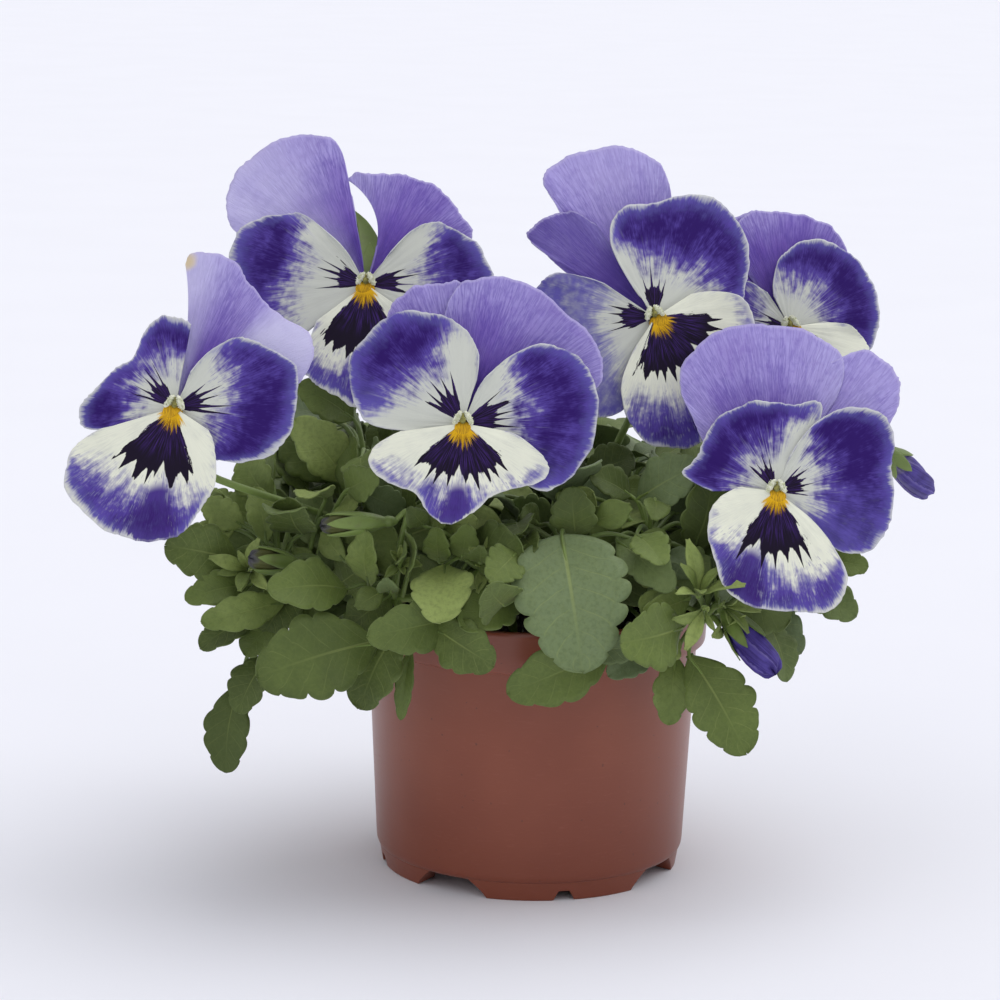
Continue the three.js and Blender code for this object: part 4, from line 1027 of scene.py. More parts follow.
# %% Upper petal finish
def lavender_finish(name, back):
    skin = Finish(name, Sheen_Weight=0.06, Specular_IOR_Level=0.22)
    turn, reach, key = skin.painted("ray")
    scar, along, across = skin.painted("zone")
    tone = skin.painted("mark")[2]
    rays = ray_noise(skin, turn, reach, key, 5.1)
    cloud = skin.noise(skin.place(), 60, 3)
    broad, fine, hair = rays(8, 0.4, 0), rays(38, 0.9, 15, 3), rays(92, 2.0, 40, 3)
    out = reach + broad.swing(1.8) + cloud.swing(2.2) + (key * 1.7).cosine() * 0.35
    speck = skin.noise(skin.place(), 380, 3)
    hue = skin.mix(out.step(0.6, 2.5), rgb(62, 32, 126), rgb(114, 84, 180))
    hue = skin.mix(out.step(2.0, 4.6), hue, rgb(166, 154, 219))
    light = (abs(across) * 0.5 + along + cloud.swing(0.8)).step(0.85, 1.5)
    hue = skin.mix(light * 0.5, hue, rgb(184, 178, 232))
    hue = skin.mix(speck.step(0.5, 0.72) * 0.35, hue, rgb(124, 100, 188))
    vein = (1.0 - abs(fine - 0.5) * 11.0).most(0.0) + (1.0 - abs(hair - 0.5) * 9.0).most(0.0) * 0.6
    fade = 1.0 - out.step(2.6, 5.8) * 0.5
    hue = skin.mix((vein * fade * 0.5).least(0.7), hue, rgb(84, 62, 160))
    hue = skin.mix((cloud * 0.8 + hair * 0.4).step(0.55, 0.85) * 0.35, hue, rgb(122, 94, 178))
    hue = skin.mix(abs(across).step(0.86, 1.0) * 0.3, hue, rgb(166, 158, 214))
    uneven_tone = tone + (cloud - 0.5) * abs(tone)
    hue = skin.mix(uneven_tone.step(0.0, 1.0), hue, rgb(206, 202, 238))
    hue = skin.mix((-uneven_tone).step(0.0, 1.0), hue, rgb(82, 64, 148))
    edge = (along + hair.swing(0.03)).step(0.975, 0.992)
    hue = skin.mix(edge * 0.5, hue, rgb(184, 176, 220))
    withered = (scar + cloud.swing(0.8)).step(0.35, 0.6)
    dry = skin.mix(scar.step(0.5, 0.9), rgb(206, 196, 206), rgb(214, 196, 164))
    hue = skin.mix(withered, hue, dry)
    if back:
        hue = skin.mix(0.35, hue, rgb(166, 154, 206))
    skin.feed("Base Color", hue)
    skin.feed("Roughness", hair * 0.12 + 0.54)
    skin.bump(vein * 0.5 + hair * 0.4 + cloud * 0.5, 0.22, 0.6)
    return skin


lavender = (lavender_finish("lavender_petal", False), lavender_finish("lavender_back", True))
print("shader nodes:", [len(skin.tree.nodes) for skin in lavender])

# %% Make the petals of all six blooms
UPPER_STRETCH = 1.015  # the solids' upper petals reach this much further than their lists
petal_key = 0
for name, bloom in BLOOMS.items():
    made = []
    for side in ("left", "right", "lip"):
        petal_key += 1
        made.append(petal(bloom, f"{name}_{side}", bloom[side], side, petal_key, patterned))
    keep(join(f"{name}_painted_petals", made), f"{name}_face")
    backs = []
    for shape in bloom["upper"]:
        petal_key += 1
        backs.append(
            petal(bloom, f"{name}_back", shape, "upper", petal_key, lavender, UPPER_STRETCH))
    keep(join(f"{name}_lavender_petals", backs), f"{name}_upper_petals")
print("petals made:", petal_key)

# %% [markdown]
# ### The eye of a bloom
# In the middle of a pansy the claws meet round a small throat. Two cream pads of club
# shaped hairs, the beards, shelter it from above, the green stigma shows between them,
# and the lip's golden guide begins below. One hair is modelled and copied over the pads.
# A near-black blob in the throat's opening is painted shadow.

# %% Throat pieces
def face_axes(clock):
    """The directions across and along a clock angle on the plane of the faces."""
    a = math.radians(clock)
    long = Vector((math.sin(a), 0, 0)) + FACE_UP * math.cos(a)
    return long.cross(FACE_OUT), long


def blob(name, bloom, clock, r, height, size, turn=0.0):
    """A ball pressed to (wide, long, high) millimetres, its length at a clock angle."""
    bpy.ops.mesh.primitive_uv_sphere_add(segments=20, ring_count=12, radius=1)
    made = bpy.context.object
    made.name = name
    wide, long = face_axes(clock + turn)
    axes = Matrix([wide * size[0], long * size[1], FACE_OUT * size[2]]).transposed()
    place = spot(bloom, clock, r, height)
    made.data.transform(Matrix.Translation(place * MM) @ (axes * MM).to_4x4())
    if axes.determinant() < 0:
        made.data.flip_normals()
    smooth(made)
    return made


def hair_pattern():
    """A club-shaped hair one unit long, standing on the origin."""
    bpy.ops.mesh.primitive_cone_add(vertices=5, radius1=0.16, radius2=0.24, depth=0.8,
                                    location=(0, 0, 0.4))
    made = bpy.context.object
    made.name = "beard_hair"
    bpy.ops.object.transform_apply(location=True, rotation=True, scale=True)
    return made


BEARD_HAIRS, BEARD_REACH, BEARD_HEIGHT, BEARD_CLOCK, BEARD_TURN = 84, 2.5, 2.2, 46, 103
BEARD_PAD, HAIR_ROOTS = (0.95, 2.5, 0.95), (1.05, 2.55, 0.95)  # wide, long, high


def beard(bloom, side, swing, key, hair):
    """A cream pad with its hairs, to one side of the throat; the two lean like a roof."""
    clock, turn = side * BEARD_CLOCK + swing, side * BEARD_TURN
    wide, long = face_axes(clock + turn)
    middle = spot(bloom, clock, BEARD_REACH, BEARD_HEIGHT)
    parts = [blob("beard_pad", bloom, clock, BEARD_REACH, BEARD_HEIGHT, BEARD_PAD, turn)]
    for i in range(BEARD_HAIRS):
        a, b = 2 * math.pi * draw(key + 2 * i), 0.25 + 0.95 * draw(key + 2 * i + 1)
        local = Vector((math.cos(a) * math.sin(b), math.sin(a) * math.sin(b), math.cos(b)))
        push = (wide * local.x * HAIR_ROOTS[0] + long * local.y * HAIR_ROOTS[1]
                + FACE_OUT * local.z * HAIR_ROOTS[2])
        lean = (wide * local.x + long * local.y * 0.5 + FACE_OUT * local.z).normalized()
        one = copy_of(hair)
        turned = Vector((0, 0, 1)).rotation_difference(lean).to_matrix().to_4x4()
        place = Matrix.Translation((middle + push * 0.92) * MM)
        size = (0.42 + 0.24 * draw(key + 3 * i)) * MM
        one.data.transform(place @ turned @ Matrix.Scale(size, 4))
        parts.append(one)
    return join("beards", parts)


print("hairs on a beard:", BEARD_HAIRS)

# %% Throat finishes
beard_skin = plain_grain("cream_beard", (206, 210, 176), (240, 241, 226), 900, 0.1, Roughness=0.8)
stigma_skin = plain_grain("green_stigma", (98, 94, 38), (142, 138, 62), 900, 0.1, Roughness=0.4)


def throat_gold():
    """Gold below, greenish above, with brown lines that run down towards the lip."""
    skin = Finish("gold_throat", Roughness=0.6, Specular_IOR_Level=0.25)
    across, up, key = skin.painted("throat")
    line = skin.noise(skin.vector(across * 34.0, up * 3.0, key), 1.0, 2)
    hue = skin.mix(up.step(-0.1, 0.22), GOLD, rgb(160, 150, 40))
    hue = skin.mix((1.0 - abs(line - 0.5) * 9.0).most(0.0) * 0.6, hue, BROWN)
    skin.feed("Base Color", hue)
    skin.bump(line, 0.2)
    return skin


gold_skin = throat_gold()
# painted shadow: a near-black finish for the blob that stands for the shade inside the throat
shadow_skin = plain_grain("painted_throat_shadow", (24, 16, 14), (58, 40, 18), 900, 0.1, Roughness=0.7)
print("throat finishes:", [skin.material.name for skin in (beard_skin, stigma_skin, gold_skin)])

# %% Put a throat in every bloom
THROAT_SWING = 0.45  # the share of the lip's turn that the throat follows
# each piece of a throat: its reach, its height and its size, as blob() takes them
STIGMA, BEAK = (1.1, 2.6, (1.0, 1.3, 0.8)), (2.4, 2.9, (0.4, 1.0, 0.45))
# HOLLOW places the near-black blob that paints the shadow in the throat's opening
GUIDE, HOLLOW = (1.7, 1.3, (3.3, 2.5, 0.8)), (0.6, 0.6, (2.3, 2.5, 1.2))
hair = hair_pattern()
for number, (name, bloom) in enumerate(BLOOMS.items()):
    lip_clock = bloom["lip"]["blotch"][0]
    swing = (lip_clock - 180) * THROAT_SWING
    pads = [beard(bloom, side, swing, 700 * number + 40 * side + 90, hair) for side in (-1, 1)]
    keep(beard_skin.dress(join(f"{name}_beards", pads)))
    ball = blob(f"{name}_stigma", bloom, swing, *STIGMA)
    beak = blob("beak", bloom, swing, *BEAK)
    keep(stigma_skin.dress(join(f"{name}_stigma", [ball, beak])))
    guide = blob(f"{name}_throat_gold", bloom, lip_clock, *GUIDE)
    seen = corners(guide) / MM - np.array(bloom["eye"])
    paint(guide, "throat", seen[:, 0] / 10, seen @ np.array(FACE_UP) / 10, number)
    keep(gold_skin.dress(guide))
    # a near-black blob in the throat's opening: painted shadow
    hollow = blob(f"{name}_throat_shadow", bloom, swing, *HOLLOW)
    keep(shadow_skin.dress(hollow))
bpy.data.objects.remove(hair)
print("throats:", len(BLOOMS))

# %% [markdown]
# ### Stalk, sepals and spur
# Behind the petals five pointed green sepals clasp the bloom, the lip ends in a short
# blunt spur, and a hooked stalk carries it all. A sepal is a small sheet with a keel;
# the stalk follows the same smooth curve as the solid and thins towards its neck.

# %% Sepals and stalks
SEPAL_CLOCKS = (2, 72, 142, 218, 288)
SEPAL_LENGTH, SEPAL_HALF, SEPAL_THICKNESS = 15, 2.3, 0.45
ROOT_DEPTH, ROOT_RISE = 11, 14  # a shoot starts this deep and grows upright for a while


def sepal(bloom, clock, length=SEPAL_LENGTH, bend=0):
    """A sepal behind a bloom; a bend in degrees curves it to one side."""
    made, u, v = sheet("sepal", 10, 22)
    behind_uppers = math.cos(math.radians(clock)) > -0.2
    slope, depth = (-0.3, -7.4) if behind_uppers else (-0.16, -7.0)
    r = 1 + (length - 1) * v
    half = np.interp(v, (0, 0.2, 0.43, 0.64, 0.86, 1), (1.2, 2.0, SEPAL_HALF, 2.0, 1.1, 0.12))
    half = half * (length / SEPAL_LENGTH) ** 0.75
    side = (u * 2 - 1) * half
    clock = clock + bend * v**1.5
    lift = depth + slope * r - 0.35 + 0.5 * (side / SEPAL_HALF) ** 2 + 0.8 * v**4
    swing = np.degrees(np.arctan2(side, r))
    mould(made, on_face(bloom, clock + swing, np.hypot(r, side), lift))
    thicken(made, SEPAL_THICKNESS, FACE_OUT)
    return made


def root_knots(x, y):
    low = soil_height(x, y) - ROOT_DEPTH
    return [Vector((x, y, low)), Vector((x, y, low + ROOT_RISE))]


def stalk_way(bloom):
    x, y = bloom["root"]
    neck = spot(bloom, 180, 14, -21)
    middle = Vector((x, y, SOIL_EDGE)).lerp(neck, 0.45) + Vector((0, 0, 8))
    hook = [neck, spot(bloom, 0, 3, -18), spot(bloom, 0, 1.5, -8.6)]
    return taper([*root_knots(x, y), middle, *hook], 56, 1.45, 0.35)


def stalk_finish():
    skin = Finish("green_stalk", Roughness=0.5, Sheen_Weight=0.1)
    place = skin.place()
    grain, drift = skin.noise(place, 300, 2), skin.noise(place, 38, 2)
    green = skin.mix(drift.step(0.35, 0.65), rgb(86, 106, 42), rgb(120, 142, 68))
    skin.feed("Base Color", skin.mix(grain.step(0.5, 0.75) * 0.25, green, rgb(84, 74, 52)))
    skin.bump(grain, 0.12)
    return skin


stem_skin = stalk_finish()
for name, bloom in BLOOMS.items():
    parts = [sepal(bloom, clock) for clock in SEPAL_CLOCKS]
    if "long_sepal" in bloom:
        parts.append(sepal(bloom, *bloom["long_sepal"]))
    parts.append(tubes("stalk", [stalk_way(bloom)]))
    spur = ((0.5, -7.5, 1.9), (3, -10.2, 1.7), (5.4, -12.6, 1.5), (7, -14, 1.0))
    parts.append(tubes("spur", [[(spot(bloom, 180, r, back), wide) for r, back, wide in spur]]))
    parts.append(blob("receptacle", bloom, 0, 0, -8, (2.7, 2.7, 1.6)))
    keep(stem_skin.dress(join(f"{name}_green_parts", parts)), f"{name}_stalk")
print("stalks:", len(BLOOMS))

# %% [markdown]
# ## Leaves
# A pansy leaf is an oval blade with a few rounded teeth, a pale midrib and side veins,
# gently folded along the midrib and arched from base to tip. The shape is modelled once
# for each number of teeth, as a grid whose sides follow the toothed outline; every leaf
# is a copy of one of them, bent into its own place between a base and a tip.

# %% Leaf outlines
HEART = Vector((0, 26, 74))  # the leaves look away from this place inside the plant
LOOKS = {"front": Vector((0, -1, 0.25)), "ring": Vector((0, 0, 0.5)), "inner": Vector((0, 0, 1.6))}
CROWDED = 0.85  # power that moves the teeth a little towards the tip
TIP_START, TIP_LONG, LEAF_LONG = 0.76, 0.265, 1.03


def leaf_lobes(width, kind):
    if kind != "front" or width < 22:
        return 2
    return 3 if width < 30 else 4


def leaf_half(v, lobes):
    """Half the width, as a share of the leaf's half width; no lobes is a small plain leaf."""
    if not lobes:
        return np.sin(np.pi * np.clip(v, 0, 0.97) ** 1.2) ** 0.7 * 0.95 + 0.02
    strips = 2 * lobes + 1
    along = np.clip(v, 0, 1)
    phase = along ** (1 / CROWDED) * strips
    tooth = np.sin(np.pi * (np.mod(phase, 2) / 2) ** 0.75) ** 0.42
    # the largest leaves are blunter
    widest, blunt, shoulder = (0.76, 0.5, 0.66) if lobes == 5 else (1.12, 0.66, 0.74)
    body = np.sin(np.pi * along**widest) ** blunt
    tip = np.clip((v - TIP_START) / TIP_LONG, 0, 1)
    body = np.maximum(body, np.where(v > TIP_START, shoulder * np.sqrt(1 - tip**2), 0))
    toothed = np.minimum(1.0, body) * np.where(phase > strips - 1, 1.0, 0.8 + 0.26 * tooth)
    return np.maximum(toothed, 0.1 * (1 - v) + 0.015)


def leaf_pattern(lobes):
    """The leaf one unit long and two units wide: x across, y along."""
    made, u, v = sheet(f"leaf_{lobes}", *((10, 10 * lobes + 14) if lobes else (6, 12)))
    v = LEAF_LONG * v
    s = u * 2 - 1
    mould(made, np.stack([s * leaf_half(v, lobes), v, s], 1) / MM)
    return made


PATTERNS = {lobes: leaf_pattern(lobes) for lobes in (0, 3, 4, 5)}
print("corners by teeth:", {n: len(p.data.vertices) for n, p in PATTERNS.items()})

# %% [markdown]
# ### Placing a leaf
# A leaf's pose is its base, its tip, where its upper side looks, its width and its roll.
# It looks away from the heart of the plant, at the front also to the front. The blade is
# arched between base and tip and folded up at both sides.

# %% Bend a leaf into place
ARCH, SIDE_LIFT, TOOTH_REACH = 0.1, 0.22, 0.02  # shares of length, half width and length


def outlook(base, tip, kind):
    away = (base.lerp(tip, 0.5) - HEART).normalized() + LOOKS[kind]
    return away.normalized()


def leaf_frame(pose):
    base, tip, look, _, roll = pose
    along = tip - base
    axis = along.normalized()
    up = (look - axis * look.dot(axis)).normalized()
    up = Quaternion(axis, math.radians(roll)) @ up
    return along, axis, up, axis.cross(up)


def leaf_blade(name, pose, lobes, key, tint=None):
    """A copy of the pattern, with its corners moved on to the arched blade."""
    along, axis, up, side = leaf_frame(pose)
    length, half = along.length, pose[3] / 2
    made = copy_of(PATTERNS[lobes])
    made.name = name
    x, v, s = corners(made).T
    on_leaf = np.clip(v, 0, 1)
    tooth = np.abs(np.sin(on_leaf ** (1 / CROWDED) * (2 * lobes + 1) * np.pi / 2)) ** 0.55
    dice = [draw(31 * key + n) for n in range(1, 7)]
    fold = SIDE_LIFT * np.abs(x) ** 1.6 * half
    arch = ARCH * length * np.sin(np.pi * on_leaf)
    wave = 0.05 * half * np.sin(v * (7 + 3 * dice[0]) + 6 * dice[1]) * np.sign(s) * s**2
    frill = 0.035 * half * np.sin(v * (17 + 6 * dice[2]) + 6 * dice[3]) * s**4
    groove = -0.3 * np.exp(-(s / 0.09) ** 2) * np.clip(1.2 - v, 0, 1)
    rib = np.abs(((v * (lobes + 3.5) - np.abs(s) * 1.3) % 1.0) - 0.5)
    quilt = 0.05 * half**0.5 * (rib - 0.25) * (1 - s**4)
    droop = -0.03 * length * np.clip(v - 0.3, 0, 1) ** 2
    bend = 0.03 * length * (dice[4] - 0.5) * np.sin(np.pi * v)
    lift = fold + arch + wave + frill + groove + quilt + droop
    mould(made, np.array(pose[0]) + np.outer(v, along) + np.outer(lift, up)
          + np.outer(x * half + bend, side)
          + np.outer(TOOTH_REACH * length * tooth * np.abs(s), axis))
    paint(made, "tint", *(tint or (dice[5], draw(47 * key + 3))), key)
    paint(made, "blade", s, v, np.abs(x))
    return made


low_front = Vector((0, -60, 100))
print("looks to the front:", [round(c, 2) for c in outlook(low_front, low_front, "front")])

# %% Stems and their leaves
# each leaf of a stem at the front: base, tip, width, roll
STEMS = {
    "left": {"root": (-36, -18), "path": ((-60, -34, 104), (-84, -46, 110)), "leaves": (
        ((-97, -52, 115), (-119, -60, 121), 18, 0), ((-93, -54, 107), (-112, -66, 105), 12, 10),
        ((-81, -58, 103), (-106, -72, 99), 12, -10), ((-89, -50, 97), (-108, -60, 88), 13, 15),
        ((-88, -48, 120), (-92, -44, 137), 10, 30), ((-98, -40, 126), (-109, -42, 137), 10, -20),
        ((-86, -54, 84), (-96, -62, 67), 15, 10), ((-97, -46, 72), (-101, -54, 45), 16, -8))},
    "front_left": {"root": (-22, -34), "path": ((-32, -46, 102), (-46, -58, 104)), "leaves": (
        ((-50, -70, 93), (-87, -82, 84), 27, 0), ((-44, -64, 96), (-56, -72, 72), 20, 12),
        ((-25, -66, 100), (-52, -84, 98), 17, -10), ((-61, -62, 108), (-84, -82, 112), 17, 10),
        ((-53, -58, 108), (-54, -66, 127), 12, -15), ((-40, -64, 90), (-43, -67, 67), 6, 0))},
    "front": {"root": (-7, -38), "path": ((-11, -48, 106), (-18, -56, 114)), "leaves": (
        ((-29, -64, 117), (-30, -86, 104), 20, 0), ((-5, -62, 107), (-23, -80, 101), 16, 8),
        ((-31, -60, 117), (-32, -70, 130), 9, 0), ((-24, -60, 118), (-22, -70, 131), 10, 12),
        ((-7, -58, 105), (-7, -60, 128), 9, 20))},
    "front_right": {"root": (9, -40), "path": ((10, -50, 108), (9, -58, 122)), "leaves": (
        ((8, -66, 128), (15, -84, 89), 36, 0), ((25, -64, 90), (-7, -78, 79), 20, -8),
        ((13, -56, 124), (11, -62, 142), 15, -12), ((15, -64, 90), (34, -70, 92), 10, 10))},
    "right": {"root": (25, -30), "path": ((32, -42, 110), (37, -46, 124)), "leaves": (
        ((31, -40, 136), (18, -46, 144), 12, 10), ((33, -42, 135), (52, -48, 148), 17, -8),
        ((51, -46, 119), (57, -50, 145), 20, 12), ((26, -58, 125), (43, -74, 113), 14, 0),
        ((50, -62, 107), (35, -76, 105), 10, -10), ((39, -60, 91), (25, -70, 83), 11, 8))},
    "low_right": {"root": (41, -22), "path": ((52, -42, 100), (56, -56, 99)), "leaves": (
        ((50, -66, 89), (68, -78, 61), 22, 0), ((46, -62, 88), (44, -68, 67), 12, 20),
        ((76, -46, 97), (83, -52, 78), 12, -12), ((46, -64, 96), (38, -72, 87), 10, 0),
        ((62, -58, 104), (60, -70, 118), 12, 10))},
    "far_right": {"root": (46, -4), "path": ((70, -14, 106), (90, -18, 112)), "leaves": (
        ((96, -20, 111), (111, -24, 110), 10, 0), ((90, -26, 104), (106, -36, 96), 14, 12),
        ((80, -16, 114), (92, -22, 134), 14, -20), ((72, -26, 98), (88, -38, 84), 15, 10))},
    "left_high": {"root": (-28, 6), "path": ((-46, -12, 116), (-57, -22, 142)), "leaves": (
        ((-62, -22, 158), (-79, -30, 170), 14, 0), ((-63, -28, 137), (-79, -36, 158), 17, 20),
        ((-60, -34, 130), (-61, -32, 152), 10, -20), ((-49, -42, 116), (-51, -40, 145), 12, 18),
        ((-40, -40, 120), (-42, -38, 141), 10, -25))},
}
# each stem all round and inside: azimuth, root's and tip's radius, height, leaves
RING_STEMS = {
    "side_right": (-4, 40, 66, 112, 3), "back_right": (28, 38, 70, 114, 4),
    "back_right_2": (58, 40, 67, 110, 4), "back": (90, 38, 62, 114, 4),
    "back_left_2": (122, 40, 67, 110, 4), "back_left": (152, 38, 70, 114, 4),
    "side_left": (184, 40, 64, 112, 3),
}
INNER_STEMS = {
    "inner_right": (20, 20, 34, 128, 3), "inner_back": (88, 22, 36, 130, 3),
    "inner_left": (150, 22, 36, 128, 3), "inner_front": (-80, 20, 30, 124, 3),
}


def polar(azimuth, r, z):
    turn = math.radians(azimuth)
    return Vector((r * math.cos(turn), r * math.sin(turn), z))


def pointing(azimuth, rise, length):
    """A direction by its azimuth and its rise in degrees."""
    a = math.radians(rise)
    return polar(azimuth, length * math.cos(a), length * math.sin(a))


def ruled_stem(rule, key):
    """A stem that leans out, with leaves by turns to its left and right."""
    azimuth, root_radius, reach, top, count = rule
    path = (polar(azimuth, root_radius + 0.45 * (reach - root_radius), top - 12),
            polar(azimuth, reach, top))
    leaves = []
    for i in range(count):
        dice = [draw(100 * key + 10 * i + n) for n in (1, 2, 3, 4)]
        node = path[0].lerp(path[1], 0.45 + 0.55 * i / (count - 1))
        sideways = 0 if i == count - 1 else (1 if i % 2 else -1) * (38 + 34 * dice[0])
        turn = azimuth + sideways
        hangs = reach > RIM_RADIUS
        rise = 30 - 34 * (i * 2 % 3) - 16 * dice[1] if hangs else 34 - 30 * dice[1]
        base = node + polar(turn, 7 + 5 * dice[3], 2 + 3 * dice[1])
        tip = base + pointing(turn, rise, 27 + 9 * dice[2])
        leaves.append((base, tip, 24 + 7 * dice[0], 24 * (dice[2] - 0.5)))
    return {"root": polar(azimuth, root_radius, 0)[:2], "path": path, "leaves": leaves}


GROWTH = [(name, stem, "front") for name, stem in STEMS.items()]
for kind, rules, first in (("ring", RING_STEMS, 0), ("inner", INNER_STEMS, 20)):
    for key, (name, rule) in enumerate(rules.items(), first):
        GROWTH.append((name, ruled_stem(rule, key), kind))
PLANT = {name: stem for name, stem, _ in GROWTH}
print("stems:", len(GROWTH), "leaves:", sum(len(stem["leaves"]) for stem in PLANT.values()))

# %% [markdown]
# ### Finding each leaf in its solid
# The solids' leaves were nudged apart where they met. A small search tries the same
# nudges and keeps the one whose blade lies on the solid, so each leaf covers its own.

# %% Find each leaf in its solid
SWINGS, SHIFTS = (0, 12, -12, 24, -24, 36, -36), (0, 2.5, -2.5, 5, -5, 8, -8)
ON_THE_SOLID = 0.62  # millimetres from the solid's skin


def stem_curve(stem):
    """Places along the stem, from the soil to its tip."""
    knots = [Vector((*stem["root"], SOIL_EDGE + 3))] + [Vector(p) for p in stem["path"]]
    return [catmull(knots, i / 24) for i in range(25)]


def nearest_point(line, base):
    above = [p for p in line[1:] if p.z >= POT_HEIGHT + 4]
    return min(above, key=lambda p: (p - base).length + 0.5 * max(0.0, p.z - base.z + 4))


def tree_of(nodes):
    """A search tree of the skins of some solids, in millimetres."""
    places, faces = [], []
    for node in nodes:
        mesh = frame["nodes"][node].data
        first = len(places)
        places += [corner.co / MM for corner in mesh.vertices]
        faces += [tuple(first + i for i in face.vertices) for face in mesh.polygons]
    return BVHTree.FromPolygons(places, faces)


def middle_points(pose, kind):
    """Points of the solid's blade at each of its teeth."""
    base, width = pose[0], pose[3]
    along, axis, up, _ = leaf_frame(pose)
    strips = 2 * leaf_lobes(width, kind) + 1
    edge = 0 if kind == "front" and width >= 25 else 1
    for k in range(1, strips):
        v = (k / strips) ** CROWDED
        half = width / 2 * min(1.0, math.sin(math.pi * v**1.25) ** 0.75 * (1.08 if k % 2 else 0.84))
        lift = ARCH * along.length * math.sin(math.pi * v) + edge * SIDE_LIFT * half
        forward = TOOTH_REACH * along.length if k % 2 else 0
        yield base + along * v + up * lift + axis * edge * forward


def find_leaf(leaf, kind, tree):
    """The pose that the solid has, or None if it has no such leaf."""
    base, tip, width, roll = Vector(leaf[0]), Vector(leaf[1]), *leaf[2:]
    look = outlook(base, tip, kind)
    for swing in SWINGS:
        swung = base + Quaternion(look, math.radians(swing)) @ (tip - base)
        for shift in SHIFTS:
            pose = (base + look * shift, swung + look * shift, look, width, roll)
            if all(tree.find_nearest(p)[3] < ON_THE_SOLID for p in middle_points(pose, kind)):
                return pose
    return None


LEAVES = {}
for name, stem, kind in GROWTH:
    tree = tree_of([f"stem_{name}"])
    found = [find_leaf(leaf, kind, tree) for leaf in stem["leaves"]]
    LEAVES[name] = [pose for pose in found if pose]
print("leaves found:", sum(map(len, LEAVES.values())))

# %% [markdown]
# ### Leaf finish
# The green changes from leaf to leaf, so each carries a tint: how young it is and how
# much blue-grey bloom it has. The veins follow the leaf's own shares, and the underside,
# a second material that Solidify gives to the back, is paler and duller.

# %% Leaf finishes
LEAF_DARK, LEAF_MID, LEAF_YOUNG = rgb(70, 84, 36), rgb(102, 119, 57), rgb(148, 164, 92)
LEAF_GREY, VEIN = rgb(114, 131, 94), rgb(158, 170, 98)


def leaf_finish(name, under):
    skin = Finish(name, Sheen_Weight=0.03, Specular_IOR_Level=0.28)
    young, bloom, key = skin.painted("tint")
    s, v, half = skin.painted("blade")
    place = skin.place()
    cloud, drift = skin.noise(place, 95, 3), skin.noise(place, 34, 2)
    grain = skin.noise(place, 700, 3, 0.6)
    across = abs(s)
    green = skin.mix((young + cloud.swing(0.4) + drift.swing(0.8)).step(0.0, 0.75),
                     LEAF_DARK, LEAF_MID)
    green = skin.mix((young + cloud.swing(0.3)).step(0.72, 1.05), green, LEAF_YOUNG)
    green = skin.mix(bloom.step(0.55, 1.0) * (cloud * 0.5 + 0.6), green, LEAF_GREY)
    green = skin.mix(grain.step(0.4, 0.7) * 0.26, green, rgb(72, 88, 46))
    midrib = 1.0 - (half - (1.0 - v) * 0.012).step(0.008, 0.04)
    midrib = midrib * (1.0 - v.step(0.2, 0.95) * 0.85)
    bough = (v * 6.2 - across * 1.35 + cloud.swing(0.35)).fraction() - 0.5
    side_vein = abs(bough).fall(0.0, 0.06) * across.step(0.02, 0.2)
    side_vein = side_vein * across.fall(0.7, 1.0)
    net = (1.0 - abs(skin.noise(place, 480, 2) - 0.5) * 14.0).most(0.0) * 0.16
    veins = midrib.most(side_vein * 0.5).most(net)
    green = skin.mix(veins * ((key * 2.3).cosine() * 0.12 + 0.32), green, VEIN)
    green = skin.mix(across.step(0.95, 1.0) * 0.3, green, rgb(116, 132, 76))
    if under:
        green = skin.mix(0.45, green, rgb(118, 132, 92))
    skin.feed("Base Color", green)
    skin.feed("Roughness", grain * 0.16 + (0.62 if under else 0.44))
    skin.bump(grain * 0.35 + cloud * 0.6 - veins * (-0.8 if under else 0.5), 0.35, 0.7)
    return skin


leaf_top, leaf_under = leaf_finish("leaf_upper_side", False), leaf_finish("leaf_underside", True)
print("leaf finishes:", leaf_top.material.name, leaf_under.material.name)

# %% Grow the leaves of every stem
LEAF_THICKNESS = 0.4
# how young and how grey with bloom a leaf is, where the photograph shows it clearly
TINTS = {
    "front_right": {0: (0.6, 0.95), 1: (0.5, 0.3), 2: (0.3, 0)},
    # the leaves of left_high, and leaves 4 and 5 of left, are set younger and so lighter, partly as
    # painted light for the shade they stand in under the blooms
    "left_high": {0: (0.75, 0.1), 1: (0.95, 0), 2: (0.7, 0.4), 3: (0.6, 0.75), 4: (0.75, 0.5)},
    "front": {0: (1.0, 0), 1: (0.72, 0.2), 2: (0.7, 0.1), 3: (0.72, 0)},
    "front_left": {0: (0.24, 0.4), 1: (0.3, 0.4), 2: (0.42, 0.6), 3: (0.55, 0.2), 4: (0.8, 0),
                   5: (0.5, 0)},
    "left": {0: (0.4, 0.4), 1: (0.65, 0), 2: (0.8, 0.1), 3: (0.2, 0.3), 4: (0.8, 0),
             5: (0.9, 0.2), 6: (0.2, 0), 7: (0.1, 0.2)},
    "low_right": {0: (0.4, 0), 2: (0.4, 0.7), 3: (0.85, 0)},
    "right": {1: (0.4, 0.85), 2: (0.35, 0), 3: (0.6, 0.75)},
}


def grow_leaf(name, pose, lobes, key, tint=None):
    made = leaf_blade(name, pose, lobes, key, tint)
    for skin in (leaf_top, leaf_under):
        skin.dress(made)
    thicken(made, LEAF_THICKNESS, leaf_frame(pose)[2], offset=0, material_offset=1)
    return made


def petiole(line, pose):
    """The little stalk of a leaf, from its stem into the blade's midrib."""
    base, start = pose[0], nearest_point(line, pose[0])
    along, _, up, _ = leaf_frame(pose)
    bend = start.lerp(base, 0.6) + Vector((0, 0, 3))
    inside = base + along * 0.22 + up * (0.052 * along.length)
    return taper([start, bend, base, inside], 18, 0.95, 0.5)


